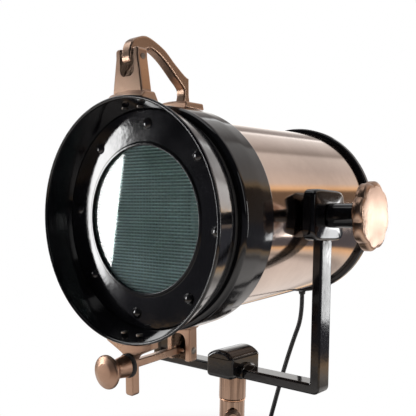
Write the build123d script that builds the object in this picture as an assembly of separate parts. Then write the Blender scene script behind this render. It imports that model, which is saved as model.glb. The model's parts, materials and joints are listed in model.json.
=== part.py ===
from build123d import *
import math
import os

os.makedirs("parts", exist_ok=True)

# A searchlight head that tilts in a yoke, on a column that the yoke turns about.
# World frame: origin under the centre of the base, +Z up, the lamp faces -Y, the tilt axis runs along X.
# Head frame: origin on the tilt axis, s runs backwards along the lamp's axis, h is up.

# ---------------------------------------------------------------- driving sizes, mm
TILT_AXIS_Z = 325.0         # tilt axis above the table
NOSE_DOWN = 3.6             # how far the lamp points down at rest, degrees
RUN_GAP = 0.3               # between pieces that move past each other
SEAT_GAP = 0.05             # around pieces that are fitted into one another

# drum
DRUM_R = 90.0
DRUM_SHEET = 1.2
DRUM_REAR = 118.0           # s of the drum's rear edge
DRUM_TUCK = 22.0            # length of drum held inside the front collar

# front collar
COLLAR_STEP = 8.0           # collar's outside over the drum
COLLAR_WALL = 3.0
COLLAR_FRONT = -124.0
COLLAR_LENGTH = 42.0
COLLAR_MOUTH_STEP = 2.5     # mouth inside the drum's radius
COLLAR_ROUND = 10.0
COLLAR_REAR_ROUND = 2.0

# rear ring and cover
REAR_RING_STEP = 5.0        # ring's outside over the drum
REAR_RING_LENGTH = 9.0
REAR_RING_CAP = 3.0         # ring behind the drum's edge
REAR_RING_LIP = 8.0
REAR_COVER_DEPTH = 18.0
REAR_COVER_DRAW = 8.0       # how much the cover narrows to its back
REAR_COVER_INSET = 3.0
COVER_SHEET = 1.5
VENT_COUNT = 10
VENT_LENGTH = 24.0
VENT_WIDTH = 5.0
VENT_INSET = 21.0           # vents' middle in from the cover's back edge
COVER_SCREW_COUNT = 6
COVER_FLANGE = 7.0
COVER_SCREW_R = 3.0
COVER_SCREW_SHANK_R = 1.4
COVER_SCREW_GRIP = 2.6

# door: flared hood, lens plate and glass
HOOD_LENGTH = 32.0
HOOD_RIM_STEP = 12.0        # hood's rim over the drum
HOOD_NECK_STEP = 3.4        # hood's neck over the drum
HOOD_LIP = 1.0              # rim bead over the hood's wall
HOOD_SHEET = 2.0
HOOD_BEAD_R = 1.7
DOOR_GAP = 6.4              # from the collar to the door's web, filled by the seal
DOOR_WEB = 4.6
DOOR_SPIGOT_GAP = 3.5
DOOR_SPIGOT_LENGTH = 11.0
DOOR_SEAL_WIDTH = 7.0
PLATE_THICK = 2.0
GLASS_INSET = 27.4          # glass opening inside the drum's radius
GLASS_LAND = 7.4            # glass held behind the plate
PLATE_LIP = 3.0
PLATE_LIP_RISE = 1.0
GLASS_THICK = 4.0
MESH_THICK = 0.6
RETAINER_THICK = 1.4
RETAINER_GAP = 3.0          # retaining ring inside the door's spigot
PLATE_SCREW_INSET = 9.2     # screw circle inside the drum's radius
PLATE_SCREW_SHANK_R = 1.95
PLATE_SCREW_COUNT = 8
PLATE_SCREW_TURN = 5.5      # degrees
PLATE_SCREW_HEAD_R = 5.0
PLATE_SCREW_DOME = 2.6

# top hinge
HINGE_SETBACK = 15.9        # pin behind the hood's front
HINGE_RISE = 36.0           # pin above the collar
HINGE_PIN_R = 2.5
EAR_DEPTH = 11.5
EAR_CAP = 7.5               # ear above the pin
CLEVIS_WIDTH = 26.0         # across the ears at the pin
CLEVIS_SPREAD = 4.0         # how much wider each ear is at its root
CLEVIS_SLOT = 13.0
CLEVIS_SLOT_DEPTH = 14.0    # slot below the pin
CLEVIS_ROOT = 8.0           # ears above the hood where they spread into the foot
CLEVIS_FOOT_WIDTH = 42.0
CLEVIS_FOOT_NOSE = 4.5
CLEVIS_FOOT_THICK = 4.0
ARM_WIDTH = 10.5
ARM_EYE_R = 7.0
ARM_FOOT_WIDTH = 38.0
ARM_FOOT_LENGTH = 24.0
ARM_FOOT_OVERHANG = 6.0     # foot behind the collar's rear edge
ARM_FOOT_THICK = 5.6
ARM_KNEE_RISE = 22.0        # corner of the arm above its foot
ARM_POST = 6.4              # thickness of the post under the corner

# bottom latch
LATCH_DROP = 22.0           # rod's axis below the collar
LUG_SETBACK = 7.4           # lug behind the hood's front
LUG_DEPTH = 8.0
LUG_LEG_WIDTH = 9.0
LUG_WEB_WIDTH = 54.0
LUG_TAIL = 25.5             # leg below the rod's axis
LUG_WEB_DEPTH = 1.0
LUG_SHOULDER = 11.0
ROD_WIDTH = 6.4
ROD_EYE_R = 5.2
LATCH_PIN_R = 2.2
STUD_R = 1.6
STUD_REACH = 8.0            # how far the knob's stud enters the rod
STUD_CLEARANCE = 0.5
FORK_PIN_INSET = 6.0        # pin ahead of the collar's rear edge
FORK_WIDTH = 28.0
FORK_GAP = 14.0
FORK_DEPTH = 10.0
FORK_ARCH_DROP = 8.5        # arch below the collar
FORK_TAIL = 10.0            # legs below the rod's axis
FORK_SADDLE_WIDTH = 31.0
FORK_SADDLE_LENGTH = 16.0
FORK_SADDLE_THICK = 3.0
BRACKET_SCREW_R = 2.8
BRACKET_SCREW_HEAD = 1.5
BRACKET_SCREW_SPREAD = 18.0
WASHER_R = 10.0
WASHER_THICK = 3.5
THUMB_KNOB_R = 13.8
THUMB_KNOB_LENGTH = 24.0
THUMB_NECK_R = 7.5

# yoke
YOKE_SIDE_GAP = 3.0         # from the drum to an arm
YOKE_BAR = 9.6              # thickness of the flat bar
YOKE_BAR_WIDTH = 20.0
YOKE_DROP = 65.0            # underside of the cross bar below the collar
YOKE_CORNER_R = 5.0
BOSS_WIDTH = 60.0
BOSS_HEIGHT = 47.0
BOSS_THICK = 11.5
BOSS_PAD_RISE = 1.5
BOSS_CORNER_R = 9.0
BOSS_PAD_R = 16.0
HUB_WIDTH = 32.0
HUB_LENGTH = 48.0
HUB_HEIGHT = 21.0
HUB_CROWN = 6.5
HUB_ARCH_WIDTH = 26.0
HUB_ARCH_RISE = 4.5
HUB_ARCH_REACH = 4.0

# tilt pivots and knobs
PIVOT_PAD_R = 21.0
PIVOT_STUD_R = 5.0
STUD_HEAD_R = 9.0
STUD_HEAD_THICK = 4.0
SPACER_R = 11.3
SPACER_LENGTH = 31.5        # from the boss's face to the knob
TILT_KNOB_R = 31.0
TILT_KNOB_DIP = 2.2
TILT_KNOB_LOBES = 8
TILT_KNOB_RIM = 2.4         # bevel round the knob's face
TILT_KNOB_THICK = 13.4
TILT_KNOB_TURN = 10.0       # degrees

# column and base
SLEEVE_R = 13.6
SLEEVE_WALL = 1.4
SLEEVE_LENGTH = 23.0
SLEEVE_CAP = 3.0
TUBE_R = 12.8
TUBE_WALL = 1.5
THRUST_RING_THICK = 1.6
THRUST_RING_R = 13.3
SPINDLE_GROOVE_DEPTH = 2.2
SPINDLE_GROOVE_WIDTH = 7.0
SPINDLE_TAIL = 12.0         # spindle below the lock button
SWIVEL_BOLT_R = 4.0
SWIVEL_BOLT_HEAD_R = 7.0
SWIVEL_BOLT_HEAD = 4.0
SWIVEL_BOLT_LENGTH = 21.0
BUTTON_R = 8.6
BUTTON_THICK = 4.0
BUTTON_STUD_R = 2.6
BUTTON_DROP = 15.0          # button centre below the top of the tube
BUTTON_TURN = 40.0          # degrees round the column from the front
BASE_R = 100.0
BASE_EDGE = 9.0
BASE_HUB_TOP = 24.0
BASE_HUB_R = 30.0
BASE_CAVITY = 7.0
BASE_RIM_WIDTH = 14.0
NUT_DEPTH = 4.0             # nut's seat above the hollow under the base
NUT_THICK = 6.0
FELT_THICK = 2.0
FOOT_FLANGE_R = 24.0
FOOT_FLANGE_TOP = 10.0

# inside the drum
REFLECTOR_GAP = 10.0        # bowl's edge inside the drum
REFLECTOR_LIP = 5.0
REFLECTOR_FOCUS = 32.0
REFLECTOR_SETBACK = 40.0    # bottom of the bowl ahead of the drum's rear edge
REFLECTOR_SHEET = 1.2
REFLECTOR_HOLE_R = 20.0
POST_CIRCLE_R = 40.0
POST_R = 3.0
HOLDER_R = 17.5
HOLDER_LENGTH = 42.0
HOLDER_BEHIND = 30.0        # holder's back behind the bowl
HOLDER_TAPER = 8.0
BRACKET_WIDTH = 18.0
BRACKET_SHEET = 1.5
BRACKET_HALF = 26.0
BRACKET_FOOT = 8.0
BULB_R = 30.0
BULB_NECK = 38.0
BULB_CAP_R = 13.0
BULB_CAP_LENGTH = 24.0
BULB_CAP_SHOW = 2.0
TERMINAL_LENGTH = 30.0
TERMINAL_DEPTH = 12.0
TERMINAL_HEIGHT = 14.0
TERMINAL_DROP = 58.0

# flexible cord and what is on it
CORD_D = 5.2
CORD_EXIT_S = 130.5
GLAND_R = 6.5
GLAND_TIP_R = 3.6
GLAND_LENGTH = 26.0
GLAND_INSIDE = 6.0
GLAND_RING = 2.0
GLAND_RING_DROP = 3.6       # gland's ring below the cover's wall
CORD_ROUTE = [
    (0.0, 136.4, 235.6), (0.0, 138.2, 206.3), (-7.0, 130.5, 177.5), (-13.0, 121.5, 145.0),
    (-21.0, 117.0, 108.0), (-31.0, 117.5, 72.0), (-41.0, 123.0, 40.0), (-44.0, 136.0, 16.0),
    (-38.0, 156.0, 5.2), (-22.0, 172.0, 3.2), (4.0, 177.0, 6.6),
]
LEAD_ROUTE = [
    (60.0, 177.0, 6.6), (81.0, 179.0, 3.6), (103.0, 187.0, 2.8), (115.0, 204.0, 2.7), (116.5, 223.0, 2.7),
]
TAIL_ROUTE = [(88.0, 251.5, 2.7), (69.0, 253.5, 2.8), (51.0, 250.5, 4.6), (34.0, 249.5, 9.0)]
COIL_CENTRE = (88.0, 223.0)
COIL_MIDDLE_R = 28.5
COIL_BAND = 16.0
COIL_HEIGHT = 13.6
SWITCH_LENGTH = 56.0
SWITCH_WIDTH = 24.0
SWITCH_HEIGHT = 14.0
ROCKER_LENGTH = 20.0
ROCKER_WIDTH = 11.0
ROCKER_SINK = 3.0           # rocker's pin below the case's top
ROCKER_PIN_R = 1.3
ROCKER_PIN_REACH = 2.0
PLUG_LENGTH = 36.0
PLUG_R = 9.0
PLUG_PIN_R = 2.0
PLUG_PIN_LENGTH = 19.0
PLUG_PIN_SPACING = 13.0

# ---------------------------------------------------------------- derived places
COLLAR_R = DRUM_R + COLLAR_STEP
COLLAR_REAR = COLLAR_FRONT + COLLAR_LENGTH
COLLAR_MOUTH_R = DRUM_R - COLLAR_MOUTH_STEP
REAR_RING_R = DRUM_R + REAR_RING_STEP
DOOR_WEB_REAR = COLLAR_FRONT - DOOR_GAP
DOOR_SPIGOT_R = COLLAR_MOUTH_R - DOOR_SPIGOT_GAP
DOOR_SEAL_R = DOOR_SPIGOT_R + DOOR_SEAL_WIDTH
HOOD_FRONT = DOOR_WEB_REAR - HOOD_LENGTH
HOOD_RIM_R = DRUM_R + HOOD_RIM_STEP
HOOD_NECK_R = DRUM_R + HOOD_NECK_STEP
GLASS_OPENING_R = DRUM_R - GLASS_INSET
GLASS_R = GLASS_OPENING_R + GLASS_LAND
RETAINER_R = DOOR_SPIGOT_R - HOOD_SHEET - RETAINER_GAP
PLATE_SCREW_CIRCLE_R = DRUM_R - PLATE_SCREW_INSET
HINGE_PIN_S = HOOD_FRONT + HINGE_SETBACK
HINGE_PIN_H = COLLAR_R + HINGE_RISE
EAR_FRONT = HINGE_PIN_S - EAR_DEPTH / 2
EAR_REAR = HINGE_PIN_S + EAR_DEPTH / 2
EAR_TOP = HINGE_PIN_H + EAR_CAP
CLEVIS_SLOT_FLOOR = HINGE_PIN_H - CLEVIS_SLOT_DEPTH
LATCH_H = -COLLAR_R - LATCH_DROP
LUG_FRONT = HOOD_FRONT + LUG_SETBACK
LUG_TIP = LATCH_H - LUG_TAIL
FORK_PIN_S = COLLAR_REAR - FORK_PIN_INSET
FORK_ARCH = -COLLAR_R - FORK_ARCH_DROP
FORK_TIP = LATCH_H - FORK_TAIL
YOKE_INSIDE = DRUM_R + YOKE_SIDE_GAP
YOKE_BOTTOM = -COLLAR_R - YOKE_DROP
HUB_TOP = YOKE_BOTTOM + HUB_HEIGHT
REFLECTOR_R = DRUM_R - REFLECTOR_GAP
REFLECTOR_VERTEX = DRUM_REAR - REFLECTOR_SETBACK
HOLDER_BACK = REFLECTOR_VERTEX + HOLDER_BEHIND
HOLDER_FRONT = HOLDER_BACK - HOLDER_LENGTH
DRUM_FRONT = COLLAR_REAR - DRUM_TUCK
RING_REAR = DRUM_REAR + REAR_RING_CAP
RING_FRONT = RING_REAR - REAR_RING_LENGTH
PLATE_REAR = DOOR_WEB_REAR - DOOR_WEB
PLATE_FRONT = PLATE_REAR - PLATE_THICK
GLASS_FRONT = PLATE_REAR
GLASS_REAR = GLASS_FRONT + GLASS_THICK
MESH_REAR = GLASS_REAR + MESH_THICK
RETAINER_REAR = MESH_REAR + RETAINER_THICK
YOKE_OUTSIDE = YOKE_INSIDE + YOKE_BAR
BAR_TOP = YOKE_BOTTOM + YOKE_BAR
BOSS_TOP = BOSS_HEIGHT / 2
BOSS_OUTSIDE = YOKE_INSIDE + BOSS_THICK
SPACER_END = BOSS_OUTSIDE + SPACER_LENGTH
KNOB_END = SPACER_END + TILT_KNOB_THICK
SLEEVE_BOTTOM = TILT_AXIS_Z + YOKE_BOTTOM - SLEEVE_LENGTH
TUBE_TOP = SLEEVE_BOTTOM - RUN_GAP - THRUST_RING_THICK
KNOB_FRONT = LUG_FRONT - WASHER_THICK - THUMB_KNOB_LENGTH
SPACER_START = BOSS_OUTSIDE + BOSS_PAD_RISE
COVER_EDGE_R = REAR_RING_R - REAR_COVER_INSET - COVER_FLANGE
REAR_COVER_BACK_R = COVER_EDGE_R - REAR_COVER_DRAW
VENT_RADIUS = REAR_COVER_BACK_R - VENT_INSET
COVER_BACK = RING_REAR + REAR_COVER_DEPTH
COVER_SCREW_CIRCLE_R = COVER_EDGE_R + COVER_FLANGE / 2 + 0.5
ROD_FRONT = LUG_FRONT + LUG_DEPTH + RUN_GAP
STUD_END = ROD_FRONT + STUD_REACH
BUTTON_Z = TUBE_TOP - BUTTON_DROP
NUT_SEAT = BASE_CAVITY + NUT_DEPTH

ON_TOP = (Align.CENTER, Align.CENTER, Align.MIN)
HUNG_BELOW = (Align.CENTER, Align.CENTER, Align.MAX)

head_place = Location((0, 0, TILT_AXIS_Z)) * Rotation(NOSE_DOWN, 0, 0)
yoke_place = Location((0, 0, TILT_AXIS_Z))


# ---------------------------------------------------------------- helpers
def save(name, shape):
    """Write one sub-part to its STEP file."""
    shape.label = name
    export_step(shape, f"parts/{name}.step")


def outline(points, rounds=None):
    """A closed face in the XY plane, with chosen corners rounded: {index: radius}."""
    face = make_face(Polyline(*points, close=True))
    for index, radius in (rounds or {}).items():
        corner = Vector(*points[index])
        vertex = min(face.vertices(), key=lambda v: (Vector(v.X, v.Y) - corner).length)
        face = fillet(vertex, radius)
    return face


def turned(points, rounds=None):
    """A solid turned about the Y axis from (radius, s) points."""
    return revolve(outline(points, rounds), Axis.Y, 360)


def upright(shape):
    """Stand a shape turned about Y on the Z axis."""
    return Rotation(90, 0, 0) * shape


def sideways(shape):
    """Lay a shape turned about Y along +X."""
    return Rotation(0, 0, -90) * shape


def disc(radius, start, end, hole=0.0):
    """A plain ring or disc on the Y axis between two stations."""
    return turned([(hole, start), (radius, start), (radius, end), (hole, end)])


def side_plate(points, width, rounds=None):
    """A plate across X, centred, from an (s, h) outline."""
    face = Plane.YZ * outline(points, rounds)
    return extrude(face, width / 2, both=True)


def around_axis(shape, count, turn=0.0):
    """Copies of a shape round the lamp's axis, as separate solids."""
    return [Rotation(0, turn + 360.0 / count * k, 0) * shape for k in range(count)]


def group(shapes):
    return Compound(children=list(shapes))


def fused(first, *others):
    body = first
    for other in others:
        body = body + other
    return body


def mirrored(shape):
    return mirror(shape, about=Plane.YZ)


def cross_pin(radius, length, s, h):
    """A pin along X through a point of the head."""
    return Pos(0, s, h) * Rotation(0, 90, 0) * Cylinder(radius, length)


def radial_pin(radius, inner, outer, s, x=0.0, downwards=False):
    """A short pin along h at station s, between two heights."""
    pin = Pos(x, s, inner) * Cylinder(radius, outer - inner, align=ON_TOP)
    return mirror(pin, about=Plane.XY) if downwards else pin


# ---------------------------------------------------------------- head: shell
def front_collar():
    r, w = COLLAR_R, COLLAR_WALL
    f, b = COLLAR_FRONT, COLLAR_REAR
    return turned(
        [(COLLAR_MOUTH_R, f), (r, f), (r, b), (DRUM_R, b), (DRUM_R, b - w), (r - w, b - w),
         (r - w, f + w), (COLLAR_MOUTH_R, f + w)],
        {1: COLLAR_ROUND, 2: COLLAR_REAR_ROUND, 6: COLLAR_ROUND - w},
    )


def drum_shell():
    shell = disc(DRUM_R, DRUM_FRONT, DRUM_REAR, DRUM_R - DRUM_SHEET)
    bore = Rotation(0, 90, 0) * Cylinder(PIVOT_STUD_R + SEAT_GAP, 4 * DRUM_R)
    return shell - bore


def rear_ring():
    body = turned(
        [(DRUM_R, RING_FRONT), (REAR_RING_R - 1.2, RING_FRONT), (REAR_RING_R, RING_FRONT + 2.0),
         (REAR_RING_R, RING_REAR - 2.0), (REAR_RING_R - 2.0, RING_REAR),
         (DRUM_R - REAR_RING_LIP, RING_REAR), (DRUM_R - REAR_RING_LIP, DRUM_REAR),
         (DRUM_R, DRUM_REAR)],
    )
    for hole in cover_screw_places(disc(COVER_SCREW_SHANK_R, DRUM_REAR - 1, RING_REAR + 1)):
        body -= hole
    return body


def cover_wall_radius(s):
    """Outer radius of the rear cover's sloping wall at station s."""
    share = (s - RING_REAR) / REAR_COVER_DEPTH
    return COVER_EDGE_R + share * (REAR_COVER_BACK_R - COVER_EDGE_R)


def cover_screw_places(shape):
    """Copies of a shape turned about the lamp's axis, at each of the rear cover's screws."""
    return around_axis(Pos(0, 0, COVER_SCREW_CIRCLE_R) * shape, COVER_SCREW_COUNT, 30.0)


def rear_cover():
    front, back = RING_REAR, COVER_BACK
    t = COVER_SHEET
    edge = COVER_EDGE_R
    rim = edge + COVER_FLANGE
    shell = turned(
        [(rim, front), (rim, front + t), (edge, front + t), (REAR_COVER_BACK_R, back),
         (0, back), (0, back - t), (REAR_COVER_BACK_R - t, back - t), (edge - t, front)],
        {3: 5.0, 6: 3.5},
    )
    slot = Pos(VENT_RADIUS, back, 0) * Rotation(90, 0, 0) * extrude(
        SlotOverall(VENT_LENGTH, VENT_WIDTH), 4 * t, both=True
    )
    for vent in around_axis(slot, VENT_COUNT):
        shell -= vent
    for hole in cover_screw_places(disc(COVER_SCREW_SHANK_R, front - 1, front + t + 1)):
        shell -= hole
    gland_hole = Pos(0, CORD_EXIT_S, -edge) * Cylinder(GLAND_R - 1.0, 40.0)
    return shell - gland_hole


def rear_cover_screws():
    r = COVER_SCREW_R
    screw = turned([(0, -COVER_SCREW_GRIP), (COVER_SCREW_SHANK_R, -COVER_SCREW_GRIP),
                    (COVER_SCREW_SHANK_R, 0),
                    (r, 0), (r, 0.8), (r * 0.5, 2.2), (0, 2.4)])
    return group(cover_screw_places(Pos(0, RING_REAR + COVER_SHEET, 0) * screw))


def pivot_pad():
    """Flat seat on the side of the drum, shaped to the drum behind."""
    face = YOKE_INSIDE - RUN_GAP
    low = DRUM_R / 2
    pad = sideways(turned([(PIVOT_STUD_R, low), (PIVOT_PAD_R, low),
                           (PIVOT_PAD_R, face), (PIVOT_STUD_R, face)], {2: 1.5}))
    return pad - Rotation(90, 0, 0) * Cylinder(DRUM_R, 4 * PIVOT_PAD_R)


def pivot_stud():
    """Headed stud from inside the drum out to the knob."""
    seat = DRUM_R - DRUM_SHEET - 0.6
    return sideways(turned(
        [(0, seat - STUD_HEAD_THICK), (STUD_HEAD_R, seat - STUD_HEAD_THICK), (STUD_HEAD_R, seat),
         (PIVOT_STUD_R, seat), (PIVOT_STUD_R, KNOB_END - 5.0), (0, KNOB_END - 5.0)],
        {1: 1.0},
    ))


# ---------------------------------------------------------------- head: light
def bowl_depth(radius):
    return radius * radius / (4 * REFLECTOR_FOCUS)


def reflector():
    v, t = REFLECTOR_VERTEX, REFLECTOR_SHEET
    r0, r1 = REFLECTOR_HOLE_R, REFLECTOR_R
    rm = (r0 + r1) / 2
    def inner(r):
        return (r, v - bowl_depth(r))
    def outer(r):
        return (r, v + t - bowl_depth(r))
    lip = r1 + REFLECTOR_LIP
    front = ThreePointArc(inner(r0), inner(rm), inner(r1))
    back = ThreePointArc(outer(r1), outer(rm), outer(r0))
    rim = Polyline(inner(r1), (lip, inner(r1)[1]), (lip, outer(r1)[1]), outer(r1))
    close = Line(outer(r0), inner(r0))
    return revolve(make_face([front, rim, back, close]), Axis.Y, 360)


def reflector_posts():
    """Three posts from the rear cover to the back of the bowl."""
    start = REFLECTOR_VERTEX + REFLECTOR_SHEET - bowl_depth(POST_CIRCLE_R - POST_R)
    end = COVER_BACK - COVER_SHEET
    post = Pos(0, 0, POST_CIRCLE_R) * disc(POST_R, start, end)
    return group(around_axis(post, 3, 60.0))


def lamp_holder():
    bore, well = BULB_CAP_R + RUN_GAP, HOLDER_FRONT + BULB_CAP_LENGTH + RUN_GAP
    return turned([(bore, HOLDER_FRONT), (HOLDER_R, HOLDER_FRONT), (HOLDER_R, HOLDER_BACK - HOLDER_TAPER),
                   (BULB_CAP_R, HOLDER_BACK), (0, HOLDER_BACK), (0, well), (bore, well)], {1: 1.0})


def lamp_bracket():
    """Flat strap with bent feet that carries the lamp holder on the rear cover."""
    end, t, half = COVER_BACK - COVER_SHEET, BRACKET_SHEET, BRACKET_HALF
    toe = half + BRACKET_FOOT
    points = [(-toe, end), (-toe, end - t), (-half, end - t), (-half, HOLDER_BACK), (half, HOLDER_BACK),
              (half, end - t), (toe, end - t), (toe, end), (half - t, end), (half - t, HOLDER_BACK + t),
              (-half + t, HOLDER_BACK + t), (-half + t, end)]
    return extrude(outline(points), BRACKET_WIDTH / 2, both=True)


def bulb_cap():
    front, length = HOLDER_FRONT - BULB_CAP_SHOW, BULB_CAP_LENGTH
    return turned([(0, front), (BULB_CAP_R, front), (BULB_CAP_R, front + length * 0.8),
                   (BULB_CAP_R * 0.6, front + length), (0, front + length)])


def bulb_glass():
    """Round bulb on a waisted neck."""
    start = HOLDER_FRONT - BULB_CAP_SHOW
    centre = start - BULB_NECK
    neck = BULB_CAP_R * 0.95
    slant = BULB_R * math.sqrt(0.5)
    waist = ThreePointArc((BULB_R, centre), (BULB_R * 0.74, centre + BULB_NECK * 0.55), (neck, start))
    dome = ThreePointArc((0, centre - BULB_R), (slant, centre - slant), (BULB_R, centre))
    closing = Polyline((neck, start), (0, start), (0, centre - BULB_R))
    return revolve(make_face([dome, waist, closing]), Axis.Y, 360)


def terminal_block():
    """Two-way terminal block on the rear cover, above the cord's entry."""
    front = COVER_BACK - COVER_SHEET - TERMINAL_DEPTH
    block = Box(TERMINAL_LENGTH, TERMINAL_DEPTH, TERMINAL_HEIGHT)
    block = Pos(0, front + TERMINAL_DEPTH / 2, -TERMINAL_DROP) * block
    block = fillet(block.edges().filter_by(Axis.Y), 1.0)
    for side in (-1, 1):
        well = Rotation(90, 0, 0) * Cylinder(TERMINAL_HEIGHT * 0.19, TERMINAL_DEPTH)
        block -= Pos(side * TERMINAL_LENGTH * 0.27, front, -TERMINAL_DROP) * well
    return block


# ---------------------------------------------------------------- head: top hinge
def hinge_arm():
    """Swan-neck arm from the collar's foot to the eye between the clevis ears."""
    foot_front = COLLAR_REAR + ARM_FOOT_OVERHANG - ARM_FOOT_LENGTH
    foot_middle = foot_front + ARM_FOOT_LENGTH / 2
    foot_top = COLLAR_R + ARM_FOOT_THICK
    post_rear = foot_front + ARM_FOOT_LENGTH * 0.86
    post_front = post_rear - ARM_POST
    pin_s, pin_h = HINGE_PIN_S, HINGE_PIN_H

    def from_pin(ds, dh):
        return (pin_s + ds, pin_h + dh)

    nose, tail = from_pin(-ARM_EYE_R, 0), from_pin(ARM_EYE_R, -1.0)
    knee = (post_rear, foot_top + ARM_KNEE_RISE)
    crook = (post_front, foot_top + ARM_KNEE_RISE / 2)
    outer = Spline(nose, from_pin(-3.5, 12.6), from_pin(17.0, 19.6), from_pin(35.0, 12.6),
                   from_pin(50.0, 1.6), knee, tangents=((0, 1), (1, -0.3)))
    inner = Spline(crook, from_pin(50.5, -10.0), from_pin(34.0, 3.4), from_pin(19.5, 10.0),
                   from_pin(9.5, 7.0), tail, tangents=((-0.6, 0.7), (-0.2, -1)))
    eye = ThreePointArc(tail, from_pin(0, -ARM_EYE_R), nose)
    post = Polyline(knee, (post_rear, foot_top + 6.0), (post_rear + 1.5, COLLAR_R + 1.0),
                    (post_front - 3.0, COLLAR_R + 1.0), (post_front, foot_top + 6.0), crook)
    face = Plane.YZ * make_face([outer, post, inner, eye])
    arm = extrude(face, ARM_WIDTH / 2, both=True)
    arm -= cross_pin(HINGE_PIN_R + SEAT_GAP, 2 * ARM_WIDTH, pin_s, pin_h)
    foot = Cylinder(foot_top, ARM_FOOT_LENGTH) - Cylinder(COLLAR_R, 2 * ARM_FOOT_LENGTH)
    foot = Pos(0, foot_middle, 0) * Rotation(90, 0, 0) * foot
    foot &= Pos(0, foot_middle, COLLAR_R) * Box(ARM_FOOT_WIDTH, ARM_FOOT_LENGTH, ARM_FOOT_WIDTH)
    return fused(arm, foot)


def hinge_pin():
    return cross_pin(HINGE_PIN_R, CLEVIS_WIDTH + 1.0, HINGE_PIN_S, HINGE_PIN_H)


# ---------------------------------------------------------------- head: bottom fork and rod
def latch_fork():
    front = FORK_PIN_S - FORK_DEPTH / 2
    rear = front + FORK_DEPTH
    root = -COLLAR_R / 2
    block = side_plate([(front, root), (front, FORK_TIP), (rear, FORK_TIP), (rear, root)],
                       FORK_WIDTH, {1: 2.5, 2: 2.5})
    gap = Box(FORK_GAP, 2 * FORK_DEPTH, 2 * COLLAR_R, align=HUNG_BELOW)
    gap = Pos(0, FORK_PIN_S, FORK_ARCH) * gap
    gap = fillet(gap.edges().filter_by(Axis.Y).group_by(Axis.Z)[-1], 5.0)
    block -= gap
    block = fillet(block.edges().filter_by(Axis.Z).group_by(Axis.X)[0], 1.2)
    block = fillet(block.edges().filter_by(Axis.Z).group_by(Axis.X)[-1], 1.2)
    length = FORK_SADDLE_LENGTH
    middle = COLLAR_REAR - length / 2
    saddle = disc(COLLAR_R + FORK_SADDLE_THICK, COLLAR_REAR - length, COLLAR_REAR)
    saddle &= Pos(0, middle, -COLLAR_R) * Box(FORK_SADDLE_WIDTH, length, COLLAR_R)
    body = fused(block, saddle)
    body -= Rotation(90, 0, 0) * Cylinder(COLLAR_R, 4 * COLLAR_R)
    return body - cross_pin(LATCH_PIN_R + SEAT_GAP, 2 * FORK_WIDTH, FORK_PIN_S, LATCH_H)


def latch_pin():
    half, r = FORK_WIDTH / 2, LATCH_PIN_R
    pin = sideways(turned([(0, half + 0.9), (r, half + 0.7), (r * 1.5, half), (r, half),
                           (r, -half - 0.5), (0, -half - 0.5)]))
    return Pos(0, FORK_PIN_S, LATCH_H) * pin


def latch_rod():
    """Square rod with a barrel eye in the fork and a bored front end for the knob's stud."""
    length = FORK_PIN_S - ROD_FRONT
    bar = Pos(0, ROD_FRONT + length / 2, LATCH_H) * Box(ROD_WIDTH, length, ROD_WIDTH)
    bar = chamfer(bar.edges().filter_by(Axis.Y), 0.6)
    body = fused(bar, cross_pin(ROD_EYE_R, FORK_GAP - 2 * RUN_GAP, FORK_PIN_S, LATCH_H))
    body -= cross_pin(LATCH_PIN_R + SEAT_GAP, 2 * FORK_GAP, FORK_PIN_S, LATCH_H)
    bore = disc(STUD_R + STUD_CLEARANCE, ROD_FRONT - 1, STUD_END + 1.5)
    return body - Pos(0, 0, LATCH_H) * bore


def cable_gland():
    """Tapered strain relief through the bottom of the rear cover, pointing down."""
    wall = cover_wall_radius(CORD_EXIT_S)
    length, inside = GLAND_LENGTH, GLAND_INSIDE
    neck = GLAND_R - 1.0 - SEAT_GAP
    bore = CORD_D / 2 + SEAT_GAP
    shown = length - inside
    low, high = shown - GLAND_RING_DROP - GLAND_RING, shown - GLAND_RING_DROP
    body = upright(turned([(bore, 0), (GLAND_TIP_R, 0), (GLAND_R - 0.6, low), (GLAND_R, low),
                           (GLAND_R, high), (neck, high), (neck, length), (bore, length)]))
    return Pos(0, CORD_EXIT_S, -wall - shown) * body


# ---------------------------------------------------------------- door
def hood_radius(s):
    """Outer radius of the hood's flared wall at station s."""
    front = HOOD_FRONT + HOOD_BEAD_R
    share = (s - front) / (DOOR_WEB_REAR - front)
    return HOOD_RIM_R - HOOD_LIP + share * (HOOD_NECK_R - HOOD_RIM_R + HOOD_LIP)


def plate_screw_hole():
    hole = disc(PLATE_SCREW_SHANK_R + SEAT_GAP, PLATE_FRONT - PLATE_THICK, DOOR_WEB_REAR + 1)
    return Pos(0, 0, PLATE_SCREW_CIRCLE_R) * hole


def door_hood():
    f, b = HOOD_FRONT, DOOR_WEB_REAR
    t, end = HOOD_SHEET, DOOR_WEB_REAR + DOOR_SPIGOT_LENGTH
    wall_r = HOOD_RIM_R - HOOD_LIP
    inner_at_web = hood_radius(PLATE_REAR) - t
    shell = turned(
        [(wall_r, f + HOOD_BEAD_R), (HOOD_NECK_R, b), (DOOR_SPIGOT_R, b), (DOOR_SPIGOT_R, end),
         (DOOR_SPIGOT_R - t, end), (DOOR_SPIGOT_R - t, b), (GLASS_R + RUN_GAP, b),
         (GLASS_R + RUN_GAP, PLATE_REAR), (inner_at_web, PLATE_REAR), (wall_r - t, f + HOOD_BEAD_R)],
        {1: 1.5},
    )
    bead = revolve(Pos(HOOD_RIM_R - HOOD_BEAD_R, f + HOOD_BEAD_R) * Circle(HOOD_BEAD_R), Axis.Y, 360)
    hole = plate_screw_hole()
    body = fused(shell, bead)
    for cut in around_axis(hole, PLATE_SCREW_COUNT, PLATE_SCREW_TURN):
        body -= cut
    return body


def door_seal():
    """Rubber ring round the spigot, between the door and the collar."""
    return disc(DOOR_SEAL_R, DOOR_WEB_REAR, COLLAR_FRONT - RUN_GAP, DOOR_SPIGOT_R)


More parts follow.
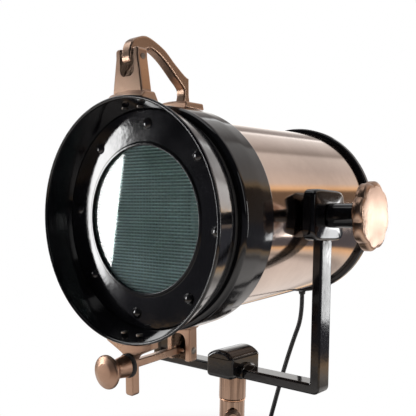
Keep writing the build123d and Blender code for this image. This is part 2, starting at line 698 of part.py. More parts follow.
def lens_plate():
    outer = hood_radius(PLATE_REAR) - HOOD_SHEET - RUN_GAP / 2
    inner = GLASS_OPENING_R
    lip, front = inner + PLATE_LIP, PLATE_FRONT - PLATE_LIP_RISE
    plate = turned(
        [(inner, PLATE_REAR), (outer, PLATE_REAR), (outer, PLATE_FRONT), (lip, PLATE_FRONT),
         (lip, front), (inner, front)],
        {4: 0.6, 5: 0.6},
    )
    hole = plate_screw_hole()
    for cut in around_axis(hole, PLATE_SCREW_COUNT, PLATE_SCREW_TURN):
        plate -= cut
    return plate


def lens_plate_screws():
    dome = PLATE_SCREW_DOME
    r = PLATE_SCREW_HEAD_R
    cap = revolve(make_face([
        ThreePointArc((0, PLATE_FRONT - dome), (r * 0.62, PLATE_FRONT - dome * 0.76), (r, PLATE_FRONT)),
        Polyline((r, PLATE_FRONT), (0, PLATE_FRONT), (0, PLATE_FRONT - dome))]), Axis.Y, 360)
    shank = disc(PLATE_SCREW_SHANK_R, PLATE_FRONT - 0.5, DOOR_WEB_REAR)
    screw = Pos(0, 0, PLATE_SCREW_CIRCLE_R) * fused(cap, shank)
    return group(around_axis(screw, PLATE_SCREW_COUNT, PLATE_SCREW_TURN))


def glass_lens():
    return disc(GLASS_R, GLASS_FRONT, GLASS_REAR)


def wire_mesh():
    return disc(GLASS_R, GLASS_REAR, MESH_REAR)


def lens_retainer():
    return disc(RETAINER_R, MESH_REAR, RETAINER_REAR, GLASS_OPENING_R + 1.5)


def hinge_clevis():
    """Two ears that spread into a thin foot shaped to the hood."""
    front, rear, low = EAR_FRONT, EAR_REAR, HOOD_NECK_R / 2
    nose, heel = front - CLEVIS_FOOT_NOSE, DOOR_WEB_REAR - CLEVIS_FOOT_NOSE / 2
    half, root_half = CLEVIS_WIDTH / 2, CLEVIS_WIDTH / 2 + CLEVIS_SPREAD
    root, thick = hood_radius(front) + CLEVIS_ROOT, CLEVIS_FOOT_THICK
    face = outline([(-root_half, low), (-root_half, root), (-half, HINGE_PIN_H), (-half, EAR_TOP),
                    (half, EAR_TOP), (half, HINGE_PIN_H), (root_half, root), (root_half, low)],
                   {3: 2.0, 4: 2.0})
    ears = Pos(0, rear, 0) * Rotation(90, 0, 0) * extrude(face, rear - front)
    slot = Box(CLEVIS_SLOT, 2 * EAR_DEPTH, 2 * EAR_TOP, align=ON_TOP)
    slot = fillet(slot.edges().filter_by(Axis.Y).group_by(Axis.Z)[0], 3.0)
    ears -= Pos(0, HINGE_PIN_S, CLEVIS_SLOT_FLOOR) * slot
    foot = side_plate([(nose, low), (nose, hood_radius(nose) + thick / 2), (front, root), (rear, root),
                       (rear + thick, hood_radius(rear + thick) + thick),
                       (heel, hood_radius(heel) + thick), (heel, low)], CLEVIS_FOOT_WIDTH)
    foot = fillet(foot.edges().filter_by(Axis.Z), CLEVIS_FOOT_NOSE / 2)
    body = fused(ears, foot)
    body -= hood_envelope()
    return body - cross_pin(HINGE_PIN_R + SEAT_GAP, 2 * CLEVIS_WIDTH, HINGE_PIN_S, HINGE_PIN_H)


def hood_envelope():
    """The hood's outer form, used to shape what is seated on it."""
    long_front = HOOD_FRONT - HOOD_LENGTH
    long_back = DOOR_WEB_REAR + HOOD_LENGTH
    return turned([(0, long_front), (hood_radius(long_front), long_front),
                   (hood_radius(long_back), long_back), (0, long_back)])


def latch_lug():
    """Gusset under the hood that narrows to a leg for the knob."""
    half_web, half_leg = LUG_WEB_WIDTH / 2, LUG_LEG_WIDTH / 2
    root, skirt, waist = -HOOD_NECK_R / 2, -HOOD_RIM_R - LUG_WEB_DEPTH, -HOOD_RIM_R - LUG_SHOULDER
    points = [(-half_web, root), (-half_web, skirt), (-half_leg, waist), (-half_leg, LUG_TIP),
              (half_leg, LUG_TIP), (half_leg, waist), (half_web, skirt), (half_web, root)]
    face = outline(points, {2: 8.0, 3: 1.5, 4: 1.5, 5: 8.0})
    plate = Pos(0, LUG_FRONT + LUG_DEPTH, 0) * Rotation(90, 0, 0) * extrude(face, LUG_DEPTH)
    body = plate - hood_envelope()
    hole = disc(STUD_R + SEAT_GAP, LUG_FRONT - 1, LUG_FRONT + LUG_DEPTH + 1)
    return body - Pos(0, 0, LATCH_H) * hole


def door_bracket_screws():
    """Domed screw heads inside the hood that hold the clevis and the lug."""
    screws = []
    r = BRACKET_SCREW_R
    for x in (-BRACKET_SCREW_SPREAD / 2, BRACKET_SCREW_SPREAD / 2):
        for s, downwards in ((HINGE_PIN_S, False), (LUG_FRONT + LUG_DEPTH / 2, True)):
            inside = math.sqrt((hood_radius(s + r) - HOOD_SHEET) ** 2 - (abs(x) + r) ** 2)
            screws.append(radial_pin(r, inside - BRACKET_SCREW_HEAD, inside - SEAT_GAP, s, x, downwards))
    return group(screws)


def latch_washer():
    bore, end, front = STUD_R + SEAT_GAP, LUG_FRONT, LUG_FRONT - WASHER_THICK
    return Pos(0, 0, LATCH_H) * turned(
        [(bore, end), (bore, front), (WASHER_R - 1.5, front), (WASHER_R, end - WASHER_THICK / 2),
         (WASHER_R, end)])


def thumb_knob():
    """Mushroom knob with the stud that screws into the rod."""
    back = LUG_FRONT - WASHER_THICK - RUN_GAP
    front = KNOB_FRONT
    r, neck = THUMB_KNOB_R, THUMB_NECK_R
    lip = front + 6.5
    profile = [
        ThreePointArc((0, front), (r * 0.62, front + 0.9), (r - 0.6, front + 3.0)),
        ThreePointArc((r - 0.6, front + 3.0), (r, front + 4.6), (r - 1.2, lip)),
        ThreePointArc((r - 1.2, lip), (neck, lip + 5.5), (neck + 1.6, back)),
        Polyline((neck + 1.6, back), (STUD_R, back), (STUD_R, STUD_END), (0, STUD_END), (0, front)),
    ]
    return Pos(0, 0, LATCH_H) * revolve(make_face(profile), Axis.Y, 360)


# ---------------------------------------------------------------- yoke
def yoke_frame():
    """Flat bar bent into a U, seen along the lamp's axis."""
    out, ins, top = YOKE_OUTSIDE, YOKE_INSIDE, -BOSS_TOP + 10.0
    points = [(-out, top), (-out, YOKE_BOTTOM), (out, YOKE_BOTTOM), (out, top),
              (ins, top), (ins, BAR_TOP), (-ins, BAR_TOP), (-ins, top)]
    face = outline(points, {1: YOKE_CORNER_R, 2: YOKE_CORNER_R, 5: 1.5, 6: 1.5})
    frame = Rotation(90, 0, 0) * extrude(face, YOKE_BAR_WIDTH / 2, both=True)
    return frame - swivel_bore()


def arm_boss():
    """Rounded block on top of an arm, with a raised seat for the spacer."""
    inside = YOKE_INSIDE
    block = Pos(inside + BOSS_THICK / 2, 0, 0) * Box(BOSS_THICK, BOSS_WIDTH, BOSS_HEIGHT)
    block = fillet(block.edges().filter_by(Axis.X), BOSS_CORNER_R)
    rim = block.faces().sort_by(Axis.X)[-1].edges()
    block = fillet(rim, 3.0)
    root = BOSS_OUTSIDE - 4.0
    pad = sideways(turned([(0, root), (BOSS_PAD_R + 3, root), (BOSS_PAD_R, BOSS_OUTSIDE),
                           (SPACER_R + 0.5, SPACER_START), (0, SPACER_START)]))
    boss = fused(block, pad)
    socket = Pos(inside + YOKE_BAR / 2, 0, -BOSS_TOP) * Box(YOKE_BAR, YOKE_BAR_WIDTH, 20.0)
    bore = Rotation(0, 90, 0) * Cylinder(PIVOT_STUD_R + SEAT_GAP, 4 * BOSS_OUTSIDE)
    return boss - socket - bore


def spacer():
    start = SPACER_START
    return sideways(turned([(PIVOT_STUD_R + SEAT_GAP, start), (SPACER_R, start), (SPACER_R, SPACER_END),
                            (PIVOT_STUD_R + SEAT_GAP, SPACER_END)], {1: 0.8, 2: 0.8}))


def lobed_outline(radius, dip, lobes, steps=48):
    """Smooth closed outline of a knob with rounded lobes."""
    points = []
    for k in range(steps):
        angle = 2 * math.pi * k / steps
        wave = (1 + math.cos(lobes * angle)) / 2
        r = radius - dip * (1 - wave ** 0.6)
        points.append((r * math.cos(angle), r * math.sin(angle)))
    return make_face(Spline(*points, periodic=True))


def tilt_knob():
    """Lobed knob, thickest at the middle, on the end of the stud."""
    start, end = SPACER_END + RUN_GAP, KNOB_END
    face = lobed_outline(TILT_KNOB_R, TILT_KNOB_DIP, TILT_KNOB_LOBES)
    blank = extrude(Rotation(0, 0, TILT_KNOB_TURN) * face, end - start)
    blank = Pos(start, 0, 0) * Rotation(0, 90, 0) * blank
    r, rim = TILT_KNOB_R, TILT_KNOB_RIM
    form = sideways(turned([(0, start), (r - 9.0, start), (r, start + 4.0), (r, end - rim - 0.6),
                            (r - rim, end - 0.6), (r - 2 * rim, end), (0, end)]))
    body = blank & form
    bore = sideways(disc(PIVOT_STUD_R + SEAT_GAP, start - 1, KNOB_END - 4.5))
    return body - bore


def yoke_hub():
    """Saddle block over the cross bar, with an arched lip where the bar comes out."""
    height = HUB_TOP - YOKE_BOTTOM
    block = Pos(0, 0, YOKE_BOTTOM + height / 2) * Box(HUB_WIDTH, HUB_LENGTH, height)
    crown_r = (HUB_WIDTH ** 2 / 4 + HUB_CROWN ** 2) / (2 * HUB_CROWN)
    crown = Pos(0, 0, HUB_TOP + HUB_CROWN - crown_r) * Rotation(90, 0, 0) * Cylinder(crown_r, HUB_LENGTH)
    crown &= Pos(0, 0, HUB_TOP + HUB_CROWN) * Box(HUB_WIDTH, HUB_LENGTH, 2 * HUB_CROWN)
    body = fused(block, crown)
    body = fillet(body.edges().filter_by(Axis.Z), 3.5)
    half, rise = HUB_ARCH_WIDTH / 2, HUB_ARCH_RISE
    reach = HUB_WIDTH / 2 + HUB_ARCH_REACH
    left, right = (-half, BAR_TOP - 3.0), (half, BAR_TOP - 3.0)
    arch = make_face([ThreePointArc(left, (0, BAR_TOP + rise), right),
                      Polyline(right, (half, YOKE_BOTTOM), (-half, YOKE_BOTTOM), left)])
    body += extrude(Plane.YZ * arch, reach, both=True)
    channel = Pos(0, 0, BAR_TOP) * Box(4 * reach, YOKE_BAR_WIDTH, 2 * YOKE_BAR, align=HUNG_BELOW)
    return body - channel - swivel_bore()


def column_sleeve():
    """Capped tube below the hub, bolted to it."""
    bore, low, cap = SLEEVE_R - SLEEVE_WALL, YOKE_BOTTOM - SLEEVE_LENGTH, YOKE_BOTTOM - SLEEVE_CAP
    return upright(turned([(bore, low), (SLEEVE_R, low), (SLEEVE_R, YOKE_BOTTOM), (0, YOKE_BOTTOM),
                           (0, cap), (bore, cap)], {1: 0.5})) - swivel_bore()


def pan_spindle():
    """Shouldered spindle pressed in the sleeve, with a groove for the lock button's tip."""
    top = YOKE_BOTTOM - SLEEVE_CAP
    bore = SLEEVE_R - SLEEVE_WALL
    low = YOKE_BOTTOM - SLEEVE_LENGTH
    tube_fit = TUBE_R - TUBE_WALL - SEAT_GAP
    groove = BUTTON_Z - TILT_AXIS_Z
    half = SPINDLE_GROOVE_WIDTH / 2
    waist = tube_fit - SPINDLE_GROOVE_DEPTH
    pocket, shoulder, tail = SWIVEL_BOLT_HEAD_R + SEAT_GAP, top - SWIVEL_BOLT_HEAD, groove - SPINDLE_TAIL
    return upright(turned([
        (0, tail), (tube_fit, tail), (tube_fit, groove - half), (waist, groove - half),
        (waist, groove + half), (tube_fit, groove + half), (tube_fit, low), (bore, low), (bore, top),
        (pocket, top), (pocket, shoulder), (0, shoulder)], {1: 1.0}))


def swivel_bolt():
    """Bolt from inside the sleeve up through the bar into the hub."""
    seat = YOKE_BOTTOM - SLEEVE_CAP
    low, high, head = seat - SWIVEL_BOLT_HEAD, seat + SWIVEL_BOLT_LENGTH, SWIVEL_BOLT_HEAD_R
    return upright(turned([(0, low), (head, low), (head, seat), (SWIVEL_BOLT_R, seat),
                           (SWIVEL_BOLT_R, high), (0, high)], {1: 0.8}))


def swivel_bore():
    """Clearance hole for the swivel bolt."""
    seat = YOKE_BOTTOM - SLEEVE_CAP
    return upright(disc(SWIVEL_BOLT_R + SEAT_GAP, seat - 1, seat + SWIVEL_BOLT_LENGTH + 0.5))


# ---------------------------------------------------------------- column and base
def column_tube():
    tube = upright(disc(TUBE_R, NUT_SEAT, TUBE_TOP, TUBE_R - TUBE_WALL))
    hole = button_place() * Rotation(90, 0, 0) * Cylinder(BUTTON_STUD_R + SEAT_GAP, 4 * TUBE_WALL)
    return tube - hole


def button_place():
    """On the column's surface, facing outwards along local -Y."""
    return Rotation(0, 0, BUTTON_TURN) * Pos(0, -TUBE_R, BUTTON_Z)


def pan_lock_button():
    """Round button whose tip runs in the spindle's groove."""
    r, t, stud = BUTTON_R, BUTTON_THICK, BUTTON_STUD_R
    tip = TUBE_WALL + SPINDLE_GROOVE_DEPTH - RUN_GAP
    face = -t - RUN_GAP
    form = turned([(0, face - 0.8), (r * 0.55, face - 0.5), (r, face + 0.8), (r, -RUN_GAP),
                   (stud, -RUN_GAP), (stud, tip), (0, tip)])
    return button_place() * form


def thrust_ring():
    return upright(disc(THRUST_RING_R, TUBE_TOP, SLEEVE_BOTTOM - RUN_GAP, TUBE_R - TUBE_WALL))


def base_casting():
    low, high, inside = FELT_THICK, FELT_THICK + BASE_EDGE, BASE_R - BASE_RIM_WIDTH
    heel, shoulder = (BASE_R - 2.0, low), (BASE_R - 3.0, high)
    profile = [
        Polyline((TUBE_R, NUT_SEAT), (BASE_HUB_R, NUT_SEAT), (inside, BASE_CAVITY + 0.5),
                 (inside, low), heel),
        ThreePointArc(heel, (BASE_R, low + BASE_EDGE / 2), shoulder),
        ThreePointArc(shoulder, (BASE_R * 0.62, high + 5.0), (BASE_HUB_R, BASE_HUB_TOP)),
        Polyline((BASE_HUB_R, BASE_HUB_TOP), (TUBE_R, BASE_HUB_TOP), (TUBE_R, NUT_SEAT)),
    ]
    return upright(revolve(make_face(profile), Axis.Y, 360))


def base_felt():
    return upright(disc(BASE_R - 4.0, 0.0, FELT_THICK))


def column_flange():
    """Turned trim collar round the foot of the column."""
    low, high, neck = BASE_HUB_TOP, BASE_HUB_TOP + FOOT_FLANGE_TOP, TUBE_R + 3.5
    return upright(turned([(TUBE_R, low), (FOOT_FLANGE_R, low), (FOOT_FLANGE_R, low + 3.0),
                           (neck, low + 5.5), (neck, high), (TUBE_R, high)], {2: 1.2, 3: 2.0, 4: 1.0}))


def column_nut():
    nut = extrude(RegularPolygon(TUBE_R + 4.0, 6), NUT_THICK)
    stem = Cylinder(TUBE_R - TUBE_WALL, 2 * NUT_THICK, align=ON_TOP)
    return Pos(0, 0, NUT_SEAT - NUT_THICK) * fused(nut, stem)


# ---------------------------------------------------------------- cord, switch and plug
def cord_tube(name, route):
    """Round tube along straight runs joined by arcs as large as the runs allow; prints the radii."""
    points = [Vector(*p) for p in route]
    runs = [b - a for a, b in zip(points, points[1:])]
    radii = []
    for first, second in zip(runs, runs[1:]):
        half_turn = math.radians(first.get_angle(second)) / 2
        radii.append(0.45 * min(first.length, second.length) / math.tan(half_turn))
    path = FilletPolyline(*points, radius=radii)
    profile = Plane(origin=points[0], z_dir=runs[0]) * Circle(CORD_D / 2)
    tube = sweep(profile, path=path)
    section = math.pi * CORD_D ** 2 / 4
    print(f"{name}: length {path.length:.1f}, radii {[round(r, 1) for r in radii]}, "
          f"runs {[round(r.length, 1) for r in runs]}, volume over section times length "
          f"{tube.volume / (section * path.length):.4f}")
    return tube


def power_cord():
    return cord_tube("power_cord", CORD_ROUTE)


def cord_lead():
    return cord_tube("cord_lead", LEAD_ROUTE)


def cord_tail():
    return cord_tube("cord_tail", TAIL_ROUTE)


def cord_coil():
    """Outer form of the wound-up cord."""
    low, high = COIL_MIDDLE_R - COIL_BAND / 2, COIL_MIDDLE_R + COIL_BAND / 2
    rounds = {corner: CORD_D / 2 - 0.2 for corner in range(4)}
    ring = upright(turned([(low, 0), (high, 0), (high, COIL_HEIGHT), (low, COIL_HEIGHT)], rounds))
    return Pos(*COIL_CENTRE, 0) * ring


def switch_centre():
    start, end = Vector(*CORD_ROUTE[-1]), Vector(*LEAD_ROUTE[0])
    return (start + end) * 0.5


def switch_case():
    """Rounded case on the cord with a well for the rocker."""
    centre = switch_centre()
    case = Box(SWITCH_LENGTH, SWITCH_WIDTH, SWITCH_HEIGHT, align=ON_TOP)
    case = fillet(case.edges().filter_by(Axis.Z), 9.0)
    case = fillet(case.faces().sort_by(Axis.Z)[-1].edges(), 3.0)
    case = fillet(case.faces().sort_by(Axis.Z)[0].edges(), 1.0)
    room = 2 * RUN_GAP
    well = Pos(0, 0, SWITCH_HEIGHT) * Box(ROCKER_LENGTH + room, ROCKER_WIDTH + room, SWITCH_HEIGHT)
    bore = Cylinder(ROCKER_PIN_R + SEAT_GAP, ROCKER_WIDTH + 2 * ROCKER_PIN_REACH + room)
    bore = Pos(0, 0, rocker_axis_height()) * Rotation(90, 0, 0) * bore
    return Pos(centre.X, centre.Y, 0) * (case - well - bore)


def rocker_axis_height():
    return SWITCH_HEIGHT - ROCKER_SINK


def switch_rocker():
    """Shallow V-shaped rocker on its pin."""
    centre = switch_centre()
    half = ROCKER_LENGTH / 2 - 2 * RUN_GAP
    points = [(-half, 0.2), (-half, 3.4), (0, 1.9), (half, 3.4), (half, 0.2), (0, -3.2)]
    face = Plane.XZ * outline(points, {2: 6.0})
    body = extrude(face, ROCKER_WIDTH / 2, both=True)
    pin = Rotation(90, 0, 0) * Cylinder(ROCKER_PIN_R, ROCKER_WIDTH + 2 * ROCKER_PIN_REACH)
    return Pos(centre.X, centre.Y, rocker_axis_height()) * fused(body, pin)


def plug_body():
    """Tapered round plug lying on its side, pins towards -X."""
    x, y, z = TAIL_ROUTE[-1]
    form = turned([(0, 0), (PLUG_R * 0.45, 0), (PLUG_R * 0.6, 9.0), (PLUG_R * 0.9, 13.0), (PLUG_R, 18.0),
                   (PLUG_R, PLUG_LENGTH), (0, PLUG_LENGTH)], {5: 1.0})
    return Pos(x, y, z) * Rotation(0, 0, 90) * form


def plug_pins():
    x, y, z = TAIL_ROUTE[-1]
    pins = []
    for side in (-1, 1):
        pin = turned([(0, 0), (PLUG_PIN_R, 0), (PLUG_PIN_R, PLUG_PIN_LENGTH - 1.2),
                      (PLUG_PIN_R * 0.5, PLUG_PIN_LENGTH), (0, PLUG_PIN_LENGTH)])
        pins.append(Pos(x - PLUG_LENGTH, y + side * PLUG_PIN_SPACING / 2, z) * Rotation(0, 0, 90) * pin)
    return group(pins)


# ---------------------------------------------------------------- write the sub-parts
HEAD_PARTS = {
    "front_collar": front_collar, "drum_shell": drum_shell, "rear_ring": rear_ring,
    "rear_cover": rear_cover,
    "rear_cover_screws": rear_cover_screws, "right_pivot_pad": pivot_pad, "right_pivot_stud": pivot_stud,
    "reflector": reflector, "reflector_posts": reflector_posts, "lamp_holder": lamp_holder,
    "lamp_bracket": lamp_bracket, "bulb_cap": bulb_cap, "bulb_glass": bulb_glass,
    "terminal_block": terminal_block, "hinge_arm": hinge_arm, "hinge_pin": hinge_pin,
    "latch_fork": latch_fork, "latch_pin": latch_pin, "latch_rod": latch_rod,
    "cable_gland": cable_gland,
    "door_hood": door_hood, "lens_plate": lens_plate, "lens_plate_screws": lens_plate_screws,
    "glass_lens": glass_lens, "wire_mesh": wire_mesh,
    "lens_retainer": lens_retainer, "door_seal": door_seal, "hinge_clevis": hinge_clevis,
    "latch_lug": latch_lug,
    "door_bracket_screws": door_bracket_screws, "latch_washer": latch_washer, "thumb_knob": thumb_knob,
    "right_tilt_knob": tilt_knob,
}
YOKE_PARTS = {
    "yoke_frame": yoke_frame, "yoke_hub": yoke_hub, "right_boss": arm_boss, "right_spacer": spacer,
    "swivel_bolt": swivel_bolt, "column_sleeve": column_sleeve, "pan_spindle": pan_spindle,
}
STAND_PARTS = {
    "column_tube": column_tube, "pan_lock_button": pan_lock_button, "thrust_ring": thrust_ring,
    "base_casting": base_casting,
    "base_felt": base_felt, "column_flange": column_flange, "column_nut": column_nut,
    "power_cord": power_cord, "cord_lead": cord_lead, "cord_tail": cord_tail, "cord_coil": cord_coil,
    "switch_case": switch_case, "switch_rocker": switch_rocker, "plug_body": plug_body,
    "plug_pins": plug_pins,
}


def write_all():
    for parts, place in ((HEAD_PARTS, head_place), (YOKE_PARTS, yoke_place), (STAND_PARTS, Location())):
        for name, make in parts.items():
            shape = make()
            save(name, place * shape)
            if name.startswith("right_"):
                save(name.replace("right_", "left_"), place * mirrored(shape))


write_all()
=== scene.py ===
import json
import math

import bmesh
import bpy
import numpy as np
from mathutils import Matrix, Quaternion, Vector


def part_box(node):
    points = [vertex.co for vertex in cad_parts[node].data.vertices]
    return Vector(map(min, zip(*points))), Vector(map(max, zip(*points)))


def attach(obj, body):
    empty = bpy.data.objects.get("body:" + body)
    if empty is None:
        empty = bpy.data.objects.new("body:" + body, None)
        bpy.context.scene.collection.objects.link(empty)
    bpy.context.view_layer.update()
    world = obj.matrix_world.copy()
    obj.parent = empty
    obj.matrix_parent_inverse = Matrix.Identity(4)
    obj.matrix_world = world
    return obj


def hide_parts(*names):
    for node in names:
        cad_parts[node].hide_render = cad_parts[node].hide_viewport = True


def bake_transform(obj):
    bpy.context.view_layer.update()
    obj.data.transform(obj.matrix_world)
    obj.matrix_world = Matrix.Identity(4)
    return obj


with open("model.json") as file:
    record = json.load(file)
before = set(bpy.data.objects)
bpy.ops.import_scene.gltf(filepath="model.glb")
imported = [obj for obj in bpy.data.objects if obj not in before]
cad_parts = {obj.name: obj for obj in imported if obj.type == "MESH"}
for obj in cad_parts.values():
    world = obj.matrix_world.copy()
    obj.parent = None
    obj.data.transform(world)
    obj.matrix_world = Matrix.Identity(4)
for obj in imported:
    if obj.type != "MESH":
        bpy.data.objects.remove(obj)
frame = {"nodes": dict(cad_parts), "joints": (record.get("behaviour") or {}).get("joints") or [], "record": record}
NODES = frame["nodes"]
RECORD = frame["record"]
JOINTS = {j["name"]: j for j in frame["joints"]}
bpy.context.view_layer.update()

# ---------------------------------------------------------------- the frame's own measures
PIVOT_Z = JOINTS["tilt"]["pos_m"][2]
LATCH_AXIS = JOINTS["door_latch"]["axis"]
NOSE_DOWN = math.atan2(-LATCH_AXIS[2], -LATCH_AXIS[1])
MM = 0.001

# ---------------------------------------------------------------- sizes that more than one piece uses
COLUMN_BORE_R = 12.8 * MM      # in the base and its flange
YOKE_BAR = 9.6 * MM            # thickness of the flat bar
DRUM_FIT = 0.05 * MM           # clearance of the collar and the rear ring on the drum
PLATE_STEP = 1.0 * MM          # lens plate's ring behind its lip
HOOD_BEAD = 1.7 * MM           # front edge to the widest of the rim bead
HOOD_LIP = 1.0 * MM            # rim to the wall behind the bead, measured on the radius
HOOD_TAPER = 8.6 * MM          # rim to the neck, measured on the radius
HEAD_STEPS = 160               # columns of a round piece of the head
TUBE_STEPS = 72                # columns of a piece of the column
SMOOTH_ANGLE = 38.0            # degrees between faces that are still shaded as one
FITTING_ANGLE = 50.0           # the same on fittings and the yoke, whose edges are fuller


def from_head(points):
    """Head frame to world: turns (x, s, h) by the nose-down angle about X and lifts it to the pivot."""
    p = np.asarray(points, float)
    c, n = math.cos(NOSE_DOWN), math.sin(NOSE_DOWN)
    x, s, h = p[..., 0], p[..., 1], p[..., 2]
    return np.stack([x, s * c - h * n, PIVOT_Z + s * n + h * c], -1)


def to_head(points):
    """World to head frame, the reverse of from_head."""
    p = np.asarray(points, float)
    c, n = math.cos(NOSE_DOWN), math.sin(NOSE_DOWN)
    x, y, z = p[..., 0], p[..., 1], p[..., 2] - PIVOT_Z
    return np.stack([x, y * c + z * n, z * c - y * n], -1)


def node_points(node):
    """All vertices of a CAD node as an array."""
    mesh = NODES[node].data
    co = np.zeros(len(mesh.vertices) * 3)
    mesh.vertices.foreach_get("co", co)
    return co.reshape(-1, 3)


def head_box(node):
    """Lowest and highest corner of a CAD node in the head frame."""
    p = to_head(node_points(node))
    return p.min(0), p.max(0)


def head_reach(node):
    """Front s, rear s, inner radius and outer radius of a round CAD node about the lamp's axis."""
    p = to_head(node_points(node))
    r = np.hypot(p[:, 0], p[:, 2])
    return p[:, 1].min(), p[:, 1].max(), r.min(), r.max()


# ---------------------------------------------------------------- surfaces
def rounded(corners, steps=5, close=False):
    """Profile through corners (a, b, radius): an arc tangent to both sides at each corner with a
    radius, and a holding point a little way along each side so that flat faces stay flat."""
    points = []
    count = len(corners)
    for i, (a, b, radius) in enumerate(corners):
        here = np.array([a, b], float)
        if radius <= 0 or (not close and i in (0, count - 1)):
            points.append(here)
            continue
        before = np.array(corners[i - 1][:2], float) - here
        after = np.array(corners[(i + 1) % count][:2], float) - here
        lb, la = np.linalg.norm(before), np.linalg.norm(after)
        before, after = before / lb, after / la
        half = math.acos(np.clip(before @ after, -1, 1)) / 2
        reach = min(radius / math.tan(half), 0.48 * lb, 0.48 * la)
        radius = reach * math.tan(half)
        middle = here + (before + after) / np.linalg.norm(before + after) * radius / math.sin(half)
        start, end = here + before * reach, here + after * reach
        v0, v1 = start - middle, end - middle
        turn = math.atan2(v0[0] * v1[1] - v0[1] * v1[0], v0 @ v1)
        t = np.linspace(0, turn, steps + 1)
        arc = middle + np.stack([np.cos(t) * v0[0] - np.sin(t) * v0[1],
                                 np.sin(t) * v0[0] + np.cos(t) * v0[1]], -1)
        hold = min(0.25 * radius, 0.2 * (0.5 * min(lb, la) - reach) + 1e-6)
        if hold > 2e-5:
            points.append(start + before * hold)
        points.extend(arc)
        if hold > 2e-5:
            points.append(end + after * hold)
    return np.array(points)


def grid_faces(rows, cols, wrap_rows=False, wrap_cols=True):
    """Quads of a grid of points, row by row, joined round where wrapped."""
    i = np.arange(rows if wrap_rows else rows - 1)[:, None]
    j = np.arange(cols if wrap_cols else cols - 1)[None, :]
    i2, j2 = (i + 1) % rows, (j + 1) % cols
    quads = np.stack([i * cols + j, i * cols + j2, i2 * cols + j2, i2 * cols + j], -1)
    return quads.reshape(-1, 4)


def build(name, points, faces, sharp=SMOOTH_ANGLE):
    """A mesh object from vertices and faces, with its doubles merged and its outside facing out, shaded
    smooth up to an angle in degrees."""
    mesh = bpy.data.meshes.new(name)
    mesh.from_pydata(np.asarray(points).reshape(-1, 3).tolist(), [], [list(f) for f in faces])
    bm = bmesh.new()
    bm.from_mesh(mesh)
    bmesh.ops.remove_doubles(bm, verts=bm.verts, dist=2e-6)
    bmesh.ops.dissolve_degenerate(bm, edges=bm.edges, dist=1e-7)
    bmesh.ops.recalc_face_normals(bm, faces=bm.faces)
    bm.to_mesh(mesh)
    bm.free()
    mesh.shade_smooth()
    mesh.set_sharp_from_angle(angle=math.radians(sharp))
    obj = bpy.data.objects.new(name, mesh)
    bpy.context.scene.collection.objects.link(obj)
    return obj


def lathe(profile, count, place, close=True):
    """Surface of revolution: point (r, s) of the profile carried round the axis, one column per step.
    place turns (x, along, up) arrays into world ones. close joins the profile's ends."""
    p = np.asarray(profile, float)
    t = np.linspace(0, 2 * math.pi, count, endpoint=False)
    r, s = p[:, 0][:, None], p[:, 1][:, None]
    grid = np.stack([r * np.cos(t), s + 0 * t, r * np.sin(t)], -1)
    return place(grid).reshape(-1, 3), grid_faces(len(p), count, wrap_rows=close)


def plate(outline, low, high, rim, place, steps=4, rows=1):
    """Solid between two levels of a closed outline (a, b): each side rounds over a quarter circle of
    radius rim, the outline set in by rim * (1 - sin) along its normals while the level rises by
    rim * (1 - cos), and a holding row keeps the caps and the side flat. place turns (a, b, level) arrays
    into world ones."""
    p = np.asarray(outline, float)
    run = np.roll(p, -1, 0) - np.roll(p, 1, 0)
    area = np.sum(p[:, 0] * np.roll(p[:, 1], -1) - p[:, 1] * np.roll(p[:, 0], -1))
    normal = np.stack([run[:, 1], -run[:, 0]], -1) * np.sign(area)
    normal /= np.linalg.norm(normal, axis=1)[:, None]
    t = np.linspace(0, math.pi / 2, steps + 1)
    hold = 0.25 * rim
    inset = np.concatenate([[rim + hold], rim * (1 - np.sin(t)), [0.0]])
    rise = np.concatenate([[0.0], rim * (1 - np.cos(t)), [rim + hold]])
    middle = np.linspace(low + rim + hold, high - rim - hold, rows + 1)[1:-1]
    insets = np.concatenate([inset, 0 * middle, inset[::-1]])
    levels = np.concatenate([low + rise, middle, high - rise[::-1]])
    flat = p[None] - normal[None] * insets[:, None, None]
    grid = np.concatenate([flat, np.broadcast_to(levels[:, None, None], flat.shape[:2] + (1,))], -1)
    count = len(p)
    faces = grid_faces(len(levels), count).tolist()
    faces.append(list(range(count))[::-1])
    faces.append([(len(levels) - 1) * count + k for k in range(count)])
    return place(grid).reshape(-1, 3), faces


def smooth_curve(points, start, end, steps=10):
    """Hermite curve through points: at each inner point the tangent is half the chord of its neighbours."""
    p = np.asarray(points, float)
    m = (np.roll(p, -1, 0) - np.roll(p, 1, 0)) / 2
    m[0] = np.array(start, float) * np.linalg.norm(p[1] - p[0]) / np.linalg.norm(start)
    m[-1] = np.array(end, float) * np.linalg.norm(p[-1] - p[-2]) / np.linalg.norm(end)
    t = np.linspace(0, 1, steps, endpoint=False)[:, None]
    out = []
    for a, b, ma, mb in zip(p, p[1:], m, m[1:]):
        out.append((2 * t ** 3 - 3 * t ** 2 + 1) * a + (t ** 3 - 2 * t ** 2 + t) * ma
                   + (3 * t ** 2 - 2 * t ** 3) * b + (t ** 3 - t ** 2) * mb)
    return np.concatenate([*out, p[-1:]])


def across(points):
    """(a, b, level) to the head frame with a as s, b as h and the level as x."""
    p = np.asarray(points, float)
    return from_head(np.stack([p[..., 2], p[..., 0], p[..., 1]], -1))


def facing(points):
    """(a, b, level) to the head frame with a as x, b as h and the level as s."""
    p = np.asarray(points, float)
    return from_head(np.stack([p[..., 0], p[..., 2], p[..., 1]], -1))


def saddled(radius):
    """Like across, but h falls away with x as a circle of the given radius does, so a pad lies on it."""
    def place(points):
        p = np.asarray(points, float)
        x = p[..., 2]
        drop = radius - np.sqrt(radius ** 2 - x ** 2)
        return from_head(np.stack([x, p[..., 0], p[..., 1] - drop * np.sign(p[..., 1])], -1))
    return place


